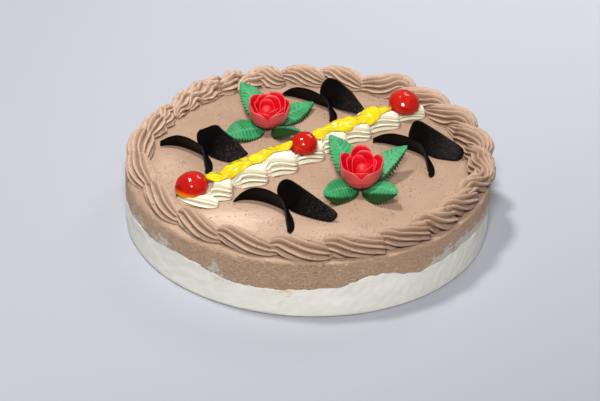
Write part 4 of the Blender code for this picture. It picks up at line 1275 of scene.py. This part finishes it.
# %% Broad shards
# Each shard: where it leans, its heading in degrees, its length, how far it is bent and how far
# its foot stands out, and its outline as (along, up) corners.
SHARDS = {
    "shard_left": ((-66.2, 10.4), -32, 44, 5.0, 2.0,
                   ((-9.6, 5.7), (-11.1, 8.4), (-10.3, 11.3), (-7.1, 14.0), (-3.3, 17.0), (1.1, 20.2),
                    (3.8, 21.2), (8.2, 20.1), (13.5, 18.4), (18.6, 16.8), (23.8, 13.9), (27.3, 11.1),
                    (30.6, 7.9), (29.3, 6.4), (27.3, 4.4), (25.2, 2.2), (21.1, 0.9), (15.6, 0.3),
                    (10.2, 0.2), (4.0, 0.6), (-2.0, 1.3), (-6.5, 3.0))),
    "shard_front": ((-11.6, -59.4), -27, 43, 3.0, 0.0,
                    ((-11.5, 9.2), (-11.7, 12.1), (-10.4, 15.4), (-7.9, 17.8), (-4.9, 18.8), (0.7, 18.4),
                     (7.2, 16.9), (13.5, 15.0), (20.3, 12.5), (27.1, 9.6), (31.1, 7.6), (32.9, 5.7),
                     (32.5, 3.2), (30.4, 0.7), (25.9, 0.1), (17.9, 0.2), (9.4, 0.5), (1.0, 1.1), (-4.1, 2.3),
                     (-8.5, 5.0))),
    "shard_back": ((12.4, 76.0), -37, 40, 3.0, 0.0,
                   ((-9.2, 5.4), (-10.3, 8.2), (-10.2, 11.4), (-9.0, 14.8), (-6.6, 17.6), (-2.6, 19.0),
                    (2.2, 19.2), (6.6, 18.5), (10.6, 17.4), (14.5, 16.4), (18.4, 14.2), (23.1, 10.9),
                    (27.1, 8.0), (29.4, 5.6), (28.6, 3.2), (24.7, 2.6), (19.5, 2.4), (13.4, 1.8), (6.0, 1.3),
                    (0.1, 1.8), (-5.7, 3.0))),
    "shard_right": ((73.4, 22.0), -25, 40, 4.5, 3.5,
                    ((-8.4, 8.4), (-8.5, 12.2), (-7.8, 16.3), (-6.1, 19.2), (-2.5, 20.5), (3.1, 20.1),
                     (9.5, 18.6), (15.7, 16.5), (21.7, 13.8), (27.4, 10.9), (30.6, 8.2), (31.6, 5.2),
                     (31.0, 1.9), (28.6, 0.1), (24.6, -0.1), (20.8, 0.0), (16.4, -0.1), (10.2, 0.8),
                     (4.0, 1.8), (-2.8, 3.2), (-6.9, 5.3))),
}
SHARD_LEAN = math.radians(32)
LOWEST = 0.1                        # mm over the cake's top
DUST_START, DUST_LENGTH = 4, 14     # mm along a shard
DUST_TOP, DUST_FADE = 64 * MM, 14 * MM
DUSTIER = ("shard_left", "shard_back")

for name, (start, heading, length, bend, foot_out, corners) in SHARDS.items():
    flat, steep = math.cos(math.radians(heading)), math.sin(math.radians(heading))

    def in_world(along, up, out):
        """Where points of this leaning, bent shard are, in metres."""
        bent = bend * ((2 * along / length - 0.52) ** 2 - 1) - foot_out
        back = up * math.sin(SHARD_LEAN) + bent - out * math.cos(SHARD_LEAN)
        rise = up * math.cos(SHARD_LEAN) + out * math.sin(SHARD_LEAN)
        return np.stack([start[0] + along * flat - back * steep, start[1] + along * steep + back * flat,
                         TOP / MM + np.maximum(CHOCOLATE_GAP + rise, LOWEST)], axis=-1) * MM

    rings = plate(round_loop(corners), in_world)
    shaving = make_piece(name + "_shaving", *tube(rings), chocolate_finish, [name], "chocolate")
    from_start = (rings[..., 0] / MM - start[0]) * flat + (rings[..., 1] / MM - start[1]) * steep
    dusty = 1.0 if name in DUSTIER else 0.55
    low_down = np.clip((DUST_TOP - rings[..., 2]) / DUST_FADE, 0, 1)
    paint_rings(shaving, "dust", dusty * np.clip((from_start - DUST_START) / DUST_LENGTH, 0, 1) * low_down)

# %% [markdown]
# ## Size
# The dressed cake is meant to be as large as the packed one.
